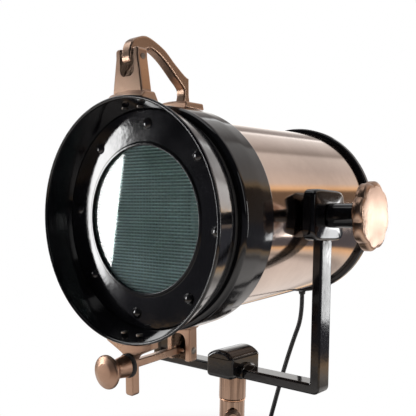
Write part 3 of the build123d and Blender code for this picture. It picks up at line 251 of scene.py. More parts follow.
def front_on(points):
    """(a, b, level) to the world with a as X, b as Z and the level as Y."""
    p = np.asarray(points, float)
    return np.stack([p[..., 0], p[..., 2], p[..., 1]], -1)


def side_on(points):
    """(a, b, level) to the world with a as Y, b as Z and the level as X."""
    p = np.asarray(points, float)
    return np.stack([p[..., 2], p[..., 0], p[..., 1]], -1)


def joined(parts):
    """Several (points, faces) pairs as one."""
    points, faces, base = [], [], 0
    for p, f in parts:
        points.append(np.asarray(p).reshape(-1, 3))
        faces.extend([v + base for v in face] for face in (f.tolist() if hasattr(f, "tolist") else f))
        base += len(points[-1])
    return np.concatenate(points), faces


def upright(points):
    """A form turned about its own axis stood on the column's axis: (x, along, up) to (x, -up, along)."""
    p = np.asarray(points, float)
    return np.stack([p[..., 0], -p[..., 2], p[..., 1]], -1)


def upright_reach(node):
    """Foot, top and radius of a round CAD node on the column's axis."""
    low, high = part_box(node)
    return low.z, high.z, (high.x - low.x) / 2


def sideways(sign):
    """Place for forms turned about the tilt axis: along becomes X on the chosen side."""
    def place(points):
        p = np.asarray(points, float)
        return np.stack([sign * p[..., 1], p[..., 0], PIVOT_Z + p[..., 2]], -1)
    return place


def about(dx, dh, ds=0.0):
    """Place for small forms turned about an axis parallel to the lamp's, dx to the side and dh up."""
    def place(points):
        p = np.asarray(points, float) + np.array([dx, ds, dh])
        return from_head(p)
    return place


# ---------------------------------------------------------------- material helpers
def add(tree, kind, **values):
    """A node of a kind; values set its attributes or, where there is no such attribute, its inputs."""
    n = tree.nodes.new(kind)
    for key, value in values.items():
        if hasattr(n, key):
            setattr(n, key, value)
        else:
            n.inputs[key.replace("_", " ")].default_value = value
    return n


def new_group(name, inputs, outputs):
    """A shader node group with named sockets, (name, type, default) each."""
    tree = bpy.data.node_groups.new(name, "ShaderNodeTree")
    for label, kind, default in inputs:
        socket = tree.interface.new_socket(name=label, in_out="INPUT", socket_type="NodeSocket" + kind)
        if default is not None:
            socket.default_value = default
    for label, kind in outputs:
        tree.interface.new_socket(name=label, in_out="OUTPUT", socket_type="NodeSocket" + kind)
    return tree, tree.nodes.new("NodeGroupInput"), tree.nodes.new("NodeGroupOutput")


def make_mottle():
    """Two colours mixed by a soft noise, with a finer noise laid over it."""
    tree, i, o = new_group(
        "mottle",
        [("Vector", "Vector", None), ("Scale", "Float", 40.0), ("Fine Scale", "Float", 400.0),
         ("Fine Share", "Float", 0.3), ("Low", "Float", 0.35), ("High", "Float", 0.65),
         ("Dark", "Color", (0, 0, 0, 1)), ("Light", "Color", (1, 1, 1, 1))],
        [("Color", "Color"), ("Mask", "Float")])
    broad = add(tree, "ShaderNodeTexNoise", Detail=3.0)
    fine = add(tree, "ShaderNodeTexNoise", Detail=2.0)
    blend = add(tree, "ShaderNodeMix", data_type="FLOAT")
    reach = add(tree, "ShaderNodeMapRange", interpolation_type="SMOOTHSTEP")
    paint = add(tree, "ShaderNodeMix", data_type="RGBA")
    link = tree.links.new
    link(i.outputs["Vector"], broad.inputs["Vector"])
    link(i.outputs["Vector"], fine.inputs["Vector"])
    link(i.outputs["Scale"], broad.inputs["Scale"])
    link(i.outputs["Fine Scale"], fine.inputs["Scale"])
    link(i.outputs["Fine Share"], blend.inputs[0])
    link(broad.outputs[0], blend.inputs[2])
    link(fine.outputs[0], blend.inputs[3])
    link(blend.outputs[0], reach.inputs["Value"])
    link(i.outputs["Low"], reach.inputs["From Min"])
    link(i.outputs["High"], reach.inputs["From Max"])
    link(reach.outputs[0], paint.inputs[0])
    link(i.outputs["Dark"], paint.inputs[6])
    link(i.outputs["Light"], paint.inputs[7])
    link(paint.outputs[2], o.inputs["Color"])
    link(reach.outputs[0], o.inputs["Mask"])
    return tree


def make_relief():
    """Height of a surface's fine relief: a broad wave, as orange peel or casting skin, plus a fine grain."""
    tree, i, o = new_group(
        "fine_relief",
        [("Vector", "Vector", None), ("Wave Scale", "Float", 300.0), ("Grain Scale", "Float", 2500.0),
         ("Wave", "Float", 1.0), ("Grain", "Float", 0.3)],
        [("Height", "Float")])
    wave = add(tree, "ShaderNodeTexNoise", Detail=1.0)
    grain = add(tree, "ShaderNodeTexNoise", Detail=2.0)
    a = add(tree, "ShaderNodeMath", operation="MULTIPLY")
    b = add(tree, "ShaderNodeMath", operation="MULTIPLY_ADD")
    link = tree.links.new
    link(i.outputs["Vector"], wave.inputs["Vector"])
    link(i.outputs["Vector"], grain.inputs["Vector"])
    link(i.outputs["Wave Scale"], wave.inputs["Scale"])
    link(i.outputs["Grain Scale"], grain.inputs["Scale"])
    link(wave.outputs[0], a.inputs[0])
    link(i.outputs["Wave"], a.inputs[1])
    link(grain.outputs[0], b.inputs[0])
    link(i.outputs["Grain"], b.inputs[1])
    link(a.outputs[0], b.inputs[2])
    link(b.outputs[0], o.inputs["Height"])
    return tree


def make_brushing():
    """Fine lines: a noise drawn out along the directions whose share of the stretch is small."""
    tree, i, o = new_group(
        "brushing",
        [("Vector", "Vector", None), ("Stretch", "Vector", (1.0, 60.0, 1.0)), ("Scale", "Float", 40.0)],
        [("Height", "Float"), ("Mask", "Float")])
    stretch = add(tree, "ShaderNodeVectorMath", operation="MULTIPLY")
    lines = add(tree, "ShaderNodeTexNoise", Detail=4.0, Roughness=0.7)
    reach = add(tree, "ShaderNodeMapRange", From_Min=0.3, From_Max=0.7)
    link = tree.links.new
    link(i.outputs["Vector"], stretch.inputs[0])
    link(i.outputs["Stretch"], stretch.inputs[1])
    link(stretch.outputs[0], lines.inputs["Vector"])
    link(i.outputs["Scale"], lines.inputs["Scale"])
    link(lines.outputs[0], reach.inputs["Value"])
    link(lines.outputs[0], o.inputs["Height"])
    link(reach.outputs[0], o.inputs["Mask"])
    return tree


def make_dust():
    """Light dust where a surface faces up, broken by noise."""
    tree, i, o = new_group(
        "dust",
        [("Vector", "Vector", None), ("Scale", "Float", 600.0), ("Amount", "Float", 0.2)],
        [("Mask", "Float")])
    face = add(tree, "ShaderNodeNewGeometry")
    parts = add(tree, "ShaderNodeSeparateXYZ")
    specks = add(tree, "ShaderNodeTexNoise", Detail=3.0)
    grade = add(tree, "ShaderNodeMapRange", From_Min=0.5, From_Max=0.72)
    up = add(tree, "ShaderNodeMath", operation="MULTIPLY", use_clamp=True)
    share = add(tree, "ShaderNodeMath", operation="MULTIPLY", use_clamp=True)
    link = tree.links.new
    link(face.outputs["Normal"], parts.inputs[0])
    link(i.outputs["Vector"], specks.inputs["Vector"])
    link(i.outputs["Scale"], specks.inputs["Scale"])
    link(specks.outputs[0], grade.inputs["Value"])
    link(parts.outputs["Z"], up.inputs[0])
    link(grade.outputs[0], up.inputs[1])
    link(up.outputs[0], share.inputs[0])
    link(i.outputs["Amount"], share.inputs[1])
    link(share.outputs[0], o.inputs["Mask"])
    return tree


GROUPS = {
    "mottle": make_mottle(),
    "relief": make_relief(),
    "brushing": make_brushing(),
    "dust": make_dust(),
}


def use_group(tree, key, vector=None, **values):
    """Places one of the shared groups with this material's own values."""
    n = tree.nodes.new("ShaderNodeGroup")
    n.node_tree = GROUPS[key]
    for label, value in values.items():
        n.inputs[label.replace("_", " ")].default_value = value
    if vector is not None:
        tree.links.new(vector, n.inputs["Vector"])
    return n


def new_material(name, **principled):
    """A material with its Principled shader, whose plain values are given. Returns the material, its tree,
    the shader and the Object coordinates."""
    material = bpy.data.materials.new(name)
    material.use_nodes = True
    tree = material.node_tree
    tree.nodes.clear()
    out = tree.nodes.new("ShaderNodeOutputMaterial")
    shader = tree.nodes.new("ShaderNodeBsdfPrincipled")
    for label, value in principled.items():
        shader.inputs[label.replace("_", " ")].default_value = value
    tree.links.new(shader.outputs[0], out.inputs["Surface"])
    place = tree.nodes.new("ShaderNodeTexCoord").outputs["Object"]
    return material, tree, shader, place


def set_bump(tree, shader, height, strength, distance):
    """Feeds the shader's normal from a height; distance is the relief's depth in metres."""
    bump = add(tree, "ShaderNodeBump", Strength=strength, Distance=distance)
    tree.links.new(height, bump.inputs["Height"])
    tree.links.new(bump.outputs[0], shader.inputs["Normal"])


def set_roughness(tree, shader, mask, low, high):
    """Roughness from low where the mask is 0 to high where it is 1."""
    reach = add(tree, "ShaderNodeMapRange", To_Min=low, To_Max=high)
    tree.links.new(mask, reach.inputs["Value"])
    tree.links.new(reach.outputs[0], shader.inputs["Roughness"])


def head_turned(tree, place):
    """Object coordinates turned into the head's own frame, so that a pattern follows its axis."""
    mapping = add(tree, "ShaderNodeMapping", vector_type="TEXTURE")
    mapping.inputs["Location"].default_value = (0, 0, PIVOT_Z)
    mapping.inputs["Rotation"].default_value = (NOSE_DOWN, 0, 0)
    tree.links.new(place, mapping.inputs["Vector"])
    return mapping.outputs[0]


# ---------------------------------------------------------------- finishes
def black_enamel():
    """Glossy stove enamel with slight orange peel and a little dust on top faces."""
    m, tree, shader, place = new_material("black_enamel", IOR=1.5)
    shade = use_group(tree, "mottle", place, Scale=25.0, Fine_Scale=900.0, Fine_Share=0.35,
                      Dark=(0.003, 0.003, 0.004, 1), Light=(0.008, 0.008, 0.010, 1))
    dust = use_group(tree, "dust", place, Scale=900.0, Amount=0.04)
    mixed = add(tree, "ShaderNodeMix", data_type="RGBA")
    mixed.inputs[7].default_value = (0.20, 0.19, 0.18, 1)
    tree.links.new(dust.outputs["Mask"], mixed.inputs[0])
    tree.links.new(shade.outputs["Color"], mixed.inputs[6])
    tree.links.new(mixed.outputs[2], shader.inputs["Base Color"])
    set_roughness(tree, shader, shade.outputs["Mask"], 0.06, 0.13)
    peel = use_group(tree, "relief", place, Wave_Scale=180.0, Grain_Scale=1500.0, Wave=1.0, Grain=0.08)
    set_bump(tree, shader, peel.outputs["Height"], 0.10, 0.0004)
    return m


def polished_bronze():
    """Drum sheet: mirror-bright bronze with fine lines round the drum and faint tarnish."""
    m, tree, shader, place = new_material("polished_bronze", Metallic=1.0)
    turned = head_turned(tree, place)
    shade = use_group(tree, "mottle", turned, Scale=9.0, Fine_Scale=120.0, Fine_Share=0.15,
                      Dark=(0.49, 0.385, 0.325, 1), Light=(0.59, 0.47, 0.40, 1))
    tree.links.new(shade.outputs["Color"], shader.inputs["Base Color"])
    lines = use_group(tree, "brushing", turned, Stretch=(0.4, 40.0, 0.4), Scale=60.0)
    set_roughness(tree, shader, lines.outputs["Mask"], 0.06, 0.13)
    set_bump(tree, shader, lines.outputs["Height"], 0.04, 0.0002)
    return m


def cast_bronze():
    """Satin bronze of the fittings: smooth, warm, a little darker in broad patches."""
    m, tree, shader, place = new_material("cast_bronze", Metallic=1.0)
    shade = use_group(tree, "mottle", place, Scale=22.0, Fine_Scale=900.0, Fine_Share=0.12,
                      Dark=(0.33, 0.21, 0.15, 1), Light=(0.44, 0.30, 0.22, 1))
    tree.links.new(shade.outputs["Color"], shader.inputs["Base Color"])
    set_roughness(tree, shader, shade.outputs["Mask"], 0.36, 0.27)
    skin = use_group(tree, "relief", place, Wave_Scale=300.0, Grain_Scale=2600.0, Wave=0.5, Grain=0.2)
    set_bump(tree, shader, skin.outputs["Height"], 0.12, 0.0004)
    return m


def aged_bronze():
    """Aged tube: brown bronze whose colour is drawn out lengthwise into dark and light streaks, a painted
    reflection of upright bands round the tube.
    """
    m, tree, shader, place = new_material("aged_bronze", Metallic=1.0)
    lines = use_group(tree, "brushing", place, Stretch=(12.0, 12.0, 0.6), Scale=60.0)
    # the colour is stretched along the tube into streaks: painted reflection of upright bands
    painted_reflection_stretch = add(tree, "ShaderNodeMapping")
    painted_reflection_stretch.inputs["Scale"].default_value = (1.0, 1.0, 0.04)
    tree.links.new(place, painted_reflection_stretch.inputs["Vector"])
    shade = use_group(tree, "mottle", painted_reflection_stretch.outputs[0], Scale=170.0, Fine_Scale=900.0, Fine_Share=0.3,
                      Dark=(0.14, 0.09, 0.065, 1), Light=(0.40, 0.27, 0.20, 1))
    tree.links.new(shade.outputs["Color"], shader.inputs["Base Color"])
    set_roughness(tree, shader, lines.outputs["Mask"], 0.13, 0.24)
    set_bump(tree, shader, lines.outputs["Height"], 0.05, 0.0003)
    return m


def plain_metal(name, dark, light, low, high, scale=80.0):
    """A bare metal with faint mottling and fine scratches."""
    m, tree, shader, place = new_material(name, Metallic=1.0)
    shade = use_group(tree, "mottle", place, Scale=scale, Fine_Scale=scale * 9, Fine_Share=0.35,
                      Dark=(*dark, 1), Light=(*light, 1))
    tree.links.new(shade.outputs["Color"], shader.inputs["Base Color"])
    set_roughness(tree, shader, shade.outputs["Mask"], low, high)
    skin = use_group(tree, "relief", place, Wave_Scale=500.0, Grain_Scale=3000.0, Wave=0.4, Grain=0.5)
    set_bump(tree, shader, skin.outputs["Height"], 0.2, 0.0004)
    return m


def moulded(name, dark, light, low, high, wave=500.0, bump=0.25, **principled):
    """A moulded or painted material without metal: plastic, rubber, ceramic or cord sheath."""
    m, tree, shader, place = new_material(name, **principled)
    shade = use_group(tree, "mottle", place, Scale=70.0, Fine_Scale=1100.0, Fine_Share=0.4,
                      Dark=(*dark, 1), Light=(*light, 1))
    dust = use_group(tree, "dust", place, Scale=1200.0, Amount=0.12)
    mixed = add(tree, "ShaderNodeMix", data_type="RGBA")
    mixed.inputs[7].default_value = (0.30, 0.29, 0.27, 1)
    tree.links.new(dust.outputs["Mask"], mixed.inputs[0])
    tree.links.new(shade.outputs["Color"], mixed.inputs[6])
    tree.links.new(mixed.outputs[2], shader.inputs["Base Color"])
    set_roughness(tree, shader, shade.outputs["Mask"], low, high)
    skin = use_group(tree, "relief", place, Wave_Scale=wave, Grain_Scale=3500.0, Wave=0.5, Grain=0.6)
    set_bump(tree, shader, skin.outputs["Height"], bump, 0.0004)
    return m


def tinted_glass():
    """Blue-green glass with a faint haze and a very slight waviness."""
    m, tree, shader, place = new_material("tinted_glass", Transmission_Weight=0.90, IOR=1.5)
    haze = use_group(tree, "mottle", place, Scale=16.0, Fine_Scale=700.0, Fine_Share=0.25,
                     Dark=(0.40, 0.56, 0.53, 1), Light=(0.58, 0.75, 0.75, 1))
    tree.links.new(haze.outputs["Color"], shader.inputs["Base Color"])
    waves = use_group(tree, "relief", place, Wave_Scale=14.0, Grain_Scale=300.0, Wave=1.0, Grain=0.02)
    set_bump(tree, shader, waves.outputs["Height"], 0.01, 0.001)
    set_roughness(tree, shader, haze.outputs["Mask"], 0.01, 0.03)
    return m


def bulb_glass():
    """Thin clear bulb: a low index, so that it bends what is behind it very little, with a light haze."""
    m, tree, shader, place = new_material("bulb_glass", Base_Color=(0.9, 0.92, 0.9, 1),
                                          Transmission_Weight=1.0, IOR=1.1)
    haze = use_group(tree, "mottle", place, Scale=30.0)
    set_roughness(tree, shader, haze.outputs["Mask"], 0.08, 0.16)
    return m


def felt():
    """Dense felt: short matted fibres in two greens."""
    m, tree, shader, place = new_material("green_felt", Sheen_Weight=0.5, Roughness=0.95)
    shade = use_group(tree, "mottle", place, Scale=300.0, Fine_Scale=2400.0, Fine_Share=0.6,
                      Dark=(0.02, 0.05, 0.035, 1), Light=(0.06, 0.13, 0.09, 1))
    tree.links.new(shade.outputs["Color"], shader.inputs["Base Color"])
    fibres = use_group(tree, "relief", place, Wave_Scale=900.0, Grain_Scale=3500.0, Wave=0.6, Grain=1.0)
    set_bump(tree, shader, fibres.outputs["Height"], 0.8, 0.0008)
    return m


FINISH = {
    "black_enamel": black_enamel(),
    "polished_bronze": polished_bronze(),
    "cast_bronze": cast_bronze(),
    "aged_bronze": aged_bronze(),
    "bright_copper": plain_metal("bright_copper", (0.58, 0.32, 0.2), (0.8, 0.5, 0.34), 0.28, 0.16),
    "steel_hardware": plain_metal("steel_hardware", (0.16, 0.14, 0.12), (0.30, 0.27, 0.24), 0.42, 0.28),
    "black_screws": moulded("black_screws", (0.004, 0.004, 0.005), (0.010, 0.010, 0.012), 0.07, 0.13,
                            bump=0.05),
    "bright_aluminium": plain_metal("bright_aluminium", (0.72, 0.73, 0.74), (0.88, 0.89, 0.9),
                                    0.52, 0.40),
    "black_rubber": moulded("black_rubber", (0.012, 0.012, 0.012), (0.03, 0.03, 0.03), 0.62, 0.8),
    "tinted_glass": tinted_glass(),
    "bulb_glass": bulb_glass(),
    "bulb_brass": plain_metal("bulb_brass", (0.50, 0.38, 0.18), (0.76, 0.62, 0.34), 0.36, 0.24),
    "white_ceramic": moulded("white_ceramic", (0.72, 0.71, 0.68), (0.86, 0.85, 0.82), 0.2, 0.32,
                             bump=0.1),
    "green_felt": felt(),
    "cord_black": moulded("cord_black", (0.008, 0.008, 0.009), (0.02, 0.02, 0.022), 0.38, 0.52),
    "black_plastic": moulded("black_plastic", (0.01, 0.01, 0.011), (0.025, 0.025, 0.027), 0.3, 0.44),
}
for row in RECORD["subparts"]:
    mesh = NODES[row["node"]].data
    mesh.materials.clear()
    mesh.materials.append(FINISH[row["material_slot"]])


def make(name, surface, body, slot, replaces, sharp=SMOOTH_ANGLE):
    """Builds a surface, gives it the finish of its slot and its body, and lets it stand for CAD nodes."""
    points, faces = surface
    obj = build(name, points, faces, sharp)
    obj.data.materials.append(FINISH[slot])
    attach(obj, body)
    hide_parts(*replaces)


# ---------------------------------------------------------------- cords
CORD_D = 0.0052
CORD_ROUTE = [
    (0.0, 136.4, 235.6), (0.0, 138.2, 206.3), (-7.0, 130.5, 177.5), (-13.0, 121.5, 145.0),
    (-21.0, 117.0, 108.0), (-31.0, 117.5, 72.0), (-41.0, 123.0, 40.0), (-44.0, 136.0, 16.0),
    (-38.0, 156.0, 5.2), (-22.0, 172.0, 3.2), (4.0, 177.0, 6.6),
]
LEAD_ROUTE = [(60.0, 177.0, 6.6), (81.0, 179.0, 3.6), (103.0, 187.0, 2.8), (115.0, 204.0, 2.7)]
TAIL_ROUTE = [(69.0, 253.5, 7.2), (51.0, 250.5, 7.4), (34.0, 249.5, 9.0)]
COIL_CENTRE = (88.0, 223.0)
COIL_MIDDLE_R = 28.5
COIL_TURNS = 7.25
TURN_POINTS = 16
COIL_COLUMN = 5.35             # from one turn to the next beside it
COIL_STEP_FROM = 0.72          # share of a turn after which it steps to the next one's place
LAYER_1, LAYER_2, LAYER_3 = 2.7, 7.9, 12.9
COIL_PLACES = [(0, LAYER_1), (1, LAYER_1), (-1, LAYER_1), (-1, LAYER_2), (0, LAYER_2), (1, LAYER_2),
               (0.5, LAYER_3), (0.45, LAYER_3), (0.45, LAYER_3)]   # column and height of each turn


def coil_points():
    """Control points of the wound cord. The angle runs on through all the turns. Over the last part of each
    turn the radius and the height pass to the next turn's place by the step 3 s^2 - 2 s^3. The radius is
    divided by the cosine of half the angle between points, because the spline runs inside its points."""
    t = np.arange(1, int(COIL_TURNS * TURN_POINTS)) / TURN_POINTS
    turn = np.floor(t).astype(int)
    share = np.clip((t - turn - COIL_STEP_FROM) / (1 - COIL_STEP_FROM), 0, 1)
    share = share * share * (3 - 2 * share)
    columns, heights = np.array(COIL_PLACES).T
    r = COIL_COLUMN * (columns[turn] * (1 - share) + columns[turn + 1] * share)
    z = heights[turn] * (1 - share) + heights[turn + 1] * share
    r = (COIL_MIDDLE_R + r) / math.cos(math.pi / TURN_POINTS)
    angle = 2 * math.pi * t
    x = COIL_CENTRE[0] + r * np.cos(angle)
    y = COIL_CENTRE[1] + r * np.sin(angle)
    return np.stack([x, y, z], -1)


def nurbs_cord(name, route):
    """A round cord on an open NURBS spline whose control points are the route, in millimetres."""
    curve = bpy.data.curves.new(name, "CURVE")
    curve.dimensions = "3D"
    spline = curve.splines.new("NURBS")
    points = np.asarray(route, float) * MM
    spline.points.add(len(points) - 1)
    spline.points.foreach_set("co", np.column_stack([points, np.ones(len(points))]).ravel())
    spline.order_u = 3
    spline.use_endpoint_u = True
    spline.resolution_u = 8
    obj = bpy.data.objects.new(name, curve)
    bpy.context.scene.collection.objects.link(obj)
    return obj


def spline_path(obj):
    """The points that a curve without a bevel follows."""
    curve = obj.data
    depth, curve.bevel_depth = curve.bevel_depth, 0.0
    bpy.context.view_layer.update()
    mesh = bpy.data.meshes.new_from_object(obj.evaluated_get(bpy.context.evaluated_depsgraph_get()))
    co = np.zeros(len(mesh.vertices) * 3)
    mesh.vertices.foreach_get("co", co)
    bpy.data.meshes.remove(mesh)
    curve.bevel_depth = depth
    return co.reshape(-1, 3)


def tube_along(path, radius, count=16):
    """Tube round a path: at each point a circle in the plane across the tangent, its directions carried
    forward from point to point so that the tube doesn't twist; ends closed by a middle point."""
    path = np.asarray(path, float)
    tangent = np.gradient(path, axis=0)
    tangent /= np.linalg.norm(tangent, axis=1)[:, None]
    side = np.cross(tangent[0], [1.0, 0.0, 0.0])
    side /= np.linalg.norm(side)
    sides = []
    for t in tangent:
        side = side - t * (side @ t)
        side /= np.linalg.norm(side)
        sides.append(side)
    sides = np.array(sides)
    other = np.cross(tangent, sides)
    a = np.linspace(0, 2 * math.pi, count, endpoint=False)
    rings = path[:, None] + radius * (np.cos(a)[None, :, None] * sides[:, None]
                                      + np.sin(a)[None, :, None] * other[:, None])
    first = np.repeat(path[:1], count, 0)[None]
    last = np.repeat(path[-1:], count, 0)[None]
    rings = np.concatenate([first, rings, last])
    return rings.reshape(-1, 3), grid_faces(len(rings), count)


def lay_cord(name, route):
    """A cord's tube along the spline of its route, and the points that it follows."""
    guide = nurbs_cord(name + "_guide", route)
    path = spline_path(guide)
    bpy.data.objects.remove(guide)
    cord = build(name, *tube_along(path, CORD_D / 2))
    cord.data.materials.append(FINISH["cord_black"])
    return cord, path


def make_cords():
    """The cord from the head to the switch, and the cord from the switch through the coil to the plug."""
    upper, path = lay_cord("cord_upper", CORD_ROUTE)
    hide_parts("power_cord")
    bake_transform(upper)
    lower, path = lay_cord("cord_lower", np.concatenate([LEAD_ROUTE, coil_points(), TAIL_ROUTE]))
    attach(lower, "yoke")
    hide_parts("cord_lead", "cord_coil", "cord_tail")


make_cords()


# ---------------------------------------------------------------- the head's shell
def make_hood():
    """Flared hood: a thin cone with a round bead at its rim, a web behind the lens plate and a spigot."""
    front, rear, _, rim = head_reach("door_hood")
    web_rear, _, spigot, _ = head_reach("door_seal")
    _, plate_rear, _, plate_r = head_reach("lens_plate")
    bead, sheet = HOOD_BEAD, 2.0 * MM
    bore = spigot - sheet
    glass_pocket = head_reach("glass_lens")[3] + 0.3 * MM
    plate_seat = plate_r + 0.15 * MM
    corners = [
        (rim - bead, front, bead), (rim, front + bead, 1.6 * MM),
        (rim - 0.9 * MM, front + 2.3 * bead, 0.8 * MM), (rim - HOOD_TAPER, web_rear, 1.5 * MM),
        (spigot, web_rear, 0), (spigot, rear, 0.5 * MM), (bore, rear, 0.5 * MM), (bore, web_rear, 0),
        (glass_pocket, web_rear, 0.3 * MM), (glass_pocket, plate_rear, 0), (plate_seat, plate_rear, 0),
        (rim - HOOD_LIP - sheet, front + 2.0 * bead, 1.2 * MM), (rim - 1.9 * bead, front + bead, 1.4 * MM),
    ]
    return lathe(rounded(corners, 6, close=True), HEAD_STEPS, from_head)


def make_lens_plate():
    """Flat ring with a raised, rounded lip round the glass."""
    front, rear, opening, outer = head_reach("lens_plate")
    lip, step = opening + 3.0 * MM, front + PLATE_STEP
    corners = [(opening, rear, 0), (outer, rear, 0), (outer, step, 0.4 * MM), (lip, step, 0.9 * MM),
               (lip - 0.9 * MM, front, 0.6 * MM), (opening, front, 0.5 * MM)]
    return lathe(rounded(corners, 5, close=True), HEAD_STEPS, from_head)


def make_plate_screws():
    """Eight domed heads: a shallow dome with a rounded foot, on the plate's screw circle."""
    top, _, nearest, farthest = head_reach("lens_plate_screws")
    circle, size = (farthest + nearest) / 2, (farthest - nearest) / 2
    seat = head_reach("lens_plate")[0] + PLATE_STEP
    count, first = 8, math.radians(84.5)
    dome = np.array([(0, top), (size * 0.35, top + 0.10 * MM), (size * 0.62, top + 0.55 * MM),
                     (size * 0.86, top + 1.35 * MM), (size * 0.97, seat - 0.45 * MM), (size, seat),
                     (0, seat)])
    parts = []
    for k in range(count):
        a = first + 2 * math.pi * k / count
        parts.append(lathe(dome, 28, about(circle * math.cos(a), circle * math.sin(a)), close=False))
    return joined(parts)


def make_glass():
    """Round pane with a small polished bevel on both edges."""
    front, rear, _, r = head_reach("glass_lens")
    bevel = 0.4 * MM
    profile = [(0, front), (r - bevel, front), (r, front + bevel), (r, rear - bevel), (r - bevel, rear),
               (0, rear)]
    return lathe(np.array(profile), 128, from_head, close=False)


def make_wire_mesh():
    """Woven screen: level ribbons at a close pitch and upright ones at a wider pitch. A ribbon is as long as
    the circle's chord at its place, its section is a flat diamond, and its depth is a sine along it, as it
    passes over and under."""
    front, rear, _, r = head_reach("wire_mesh")
    middle = (front + rear) / 2
    level_pitch, upright_pitch = 2.7 * MM, 3.6 * MM
    wave, steps, corners = 0.1 * MM, 41, 4
    r = r - 0.5 * MM
    parts = []
    for pitch, half, stands in ((level_pitch, 0.72 * MM, False), (upright_pitch, 0.28 * MM, True)):
        place = np.arange(-math.floor(r / pitch), math.floor(r / pitch) + 1) * pitch
        chord = np.sqrt(np.maximum(r * r - place * place, 1e-10))
        along = chord[:, None] * np.linspace(-1, 1, steps)[None, :]
        phase = np.arange(len(place))[:, None] * math.pi
        depth = middle + wave * np.sin(along / upright_pitch * math.pi + phase)
        section = np.array([[-half, 0], [0, -half * 0.7], [half, 0], [0, half * 0.7]])
        sweep = along[:, :, None] + 0 * section[None, None, :, 0]
        lift = place[:, None, None] + section[None, None, :, 0] + 0 * along[:, :, None]
        deep = depth[:, :, None] + section[None, None, :, 1]
        x, h = (lift, sweep) if stands else (sweep, lift)
        grid = np.stack([x, deep, h], -1)
        first = (np.arange(len(place)) * steps * corners)[:, None, None]
        faces = grid_faces(steps, corners)[None] + first
        parts.append((from_head(grid).reshape(-1, 3), faces.reshape(-1, 4)))
    return joined(parts)


def make_collar():
    """Front collar: a barrel whose front edge is one full round, with a wall of even thickness."""
    front, rear, mouth, r = head_reach("front_collar")
    seat = head_reach("drum_shell")[3] + DRUM_FIT
    wall, turn, barrel = 3.0 * MM, 10.0 * MM, 0.5 * MM
    corners = [
        (mouth, front, 0.4 * MM), (r - barrel, front, turn), (r, (front + turn + rear) / 2, 120 * MM),
        (r - barrel, rear, 2.4 * MM), (seat, rear, 0.3 * MM), (seat, rear - wall, 0),
        (r - wall, rear - wall, 0), (r - wall, front + wall, turn - wall), (mouth, front + wall, 0),
    ]
    return lathe(rounded(corners, 12, close=True), HEAD_STEPS, from_head)


def make_drum():
    """Drum sheet, rolled and seamless."""
    front, rear, _, r = head_reach("drum_shell")
    inside = r - 1.2 * MM
    corners = [(r, front, 0.1 * MM), (r, rear, 0.2 * MM), (inside, rear, 0.2 * MM), (inside, front, 0.1 * MM)]
    return lathe(rounded(corners, 3, close=True), 200, from_head)


def make_rear_ring():
    """Rear ring: a band round the drum's end with eased edges, turned in behind it as a lip."""
    front, rear, _, r = head_reach("rear_ring")
    drum = head_reach("drum_shell")[3]
    seat, lip, lip_front = drum + DRUM_FIT, drum - 8 * MM, rear - 3 * MM
    corners = [(seat, front, 0.3 * MM), (r - 1.2 * MM, front, 1.0 * MM), (r, front + 2 * MM, 1.0 * MM),
               (r, rear - 2 * MM, 1.4 * MM), (r - 2 * MM, rear, 1.4 * MM), (lip, rear, 0.4 * MM),
               (lip, lip_front, 0), (seat, lip_front, 0)]
    return lathe(rounded(corners, 5, close=True), HEAD_STEPS, from_head)


make("hood_shell", make_hood(), "door", "black_enamel", ("door_hood",))
make("lens_ring", make_lens_plate(), "door", "black_enamel", ("lens_plate",))
make("lens_ring_screws", make_plate_screws(), "door", "black_screws", ("lens_plate_screws",))
make("lens_pane", make_glass(), "door", "tinted_glass", ("glass_lens",))
make("woven_screen", make_wire_mesh(), "door", "bright_aluminium", ("wire_mesh",))
make("collar_shell", make_collar(), "head", "black_enamel", ("front_collar",))
make("drum_sheet", make_drum(), "head", "polished_bronze", ("drum_shell",))
make("back_ring", make_rear_ring(), "head", "black_enamel", ("rear_ring",))


# ---------------------------------------------------------------- hinge and latch fittings
def pin_place(node):
    """Middle of a cross pin in the head frame, as (s, h)."""
    low, high = head_box(node)
    return (low[1] + high[1]) / 2, (low[2] + high[2]) / 2


def hood_radius(s):
    """Outer radius of the hood's wall at station s, straight from its rim bead to its neck."""
    front, _, _, rim = head_reach("door_hood")
    rear = head_reach("door_seal")[0]
    share = (s - front - HOOD_BEAD) / (rear - front - HOOD_BEAD)
    return rim - HOOD_LIP - share * (HOOD_TAPER - HOOD_LIP)


def arc_edge(radius, half, sign=1, count=13):
    """Points of an outline along a circle of the given radius, from -half to half."""
    a = np.linspace(-half, half, count)
    return np.stack([a, sign * np.sqrt(radius ** 2 - a ** 2)], -1)


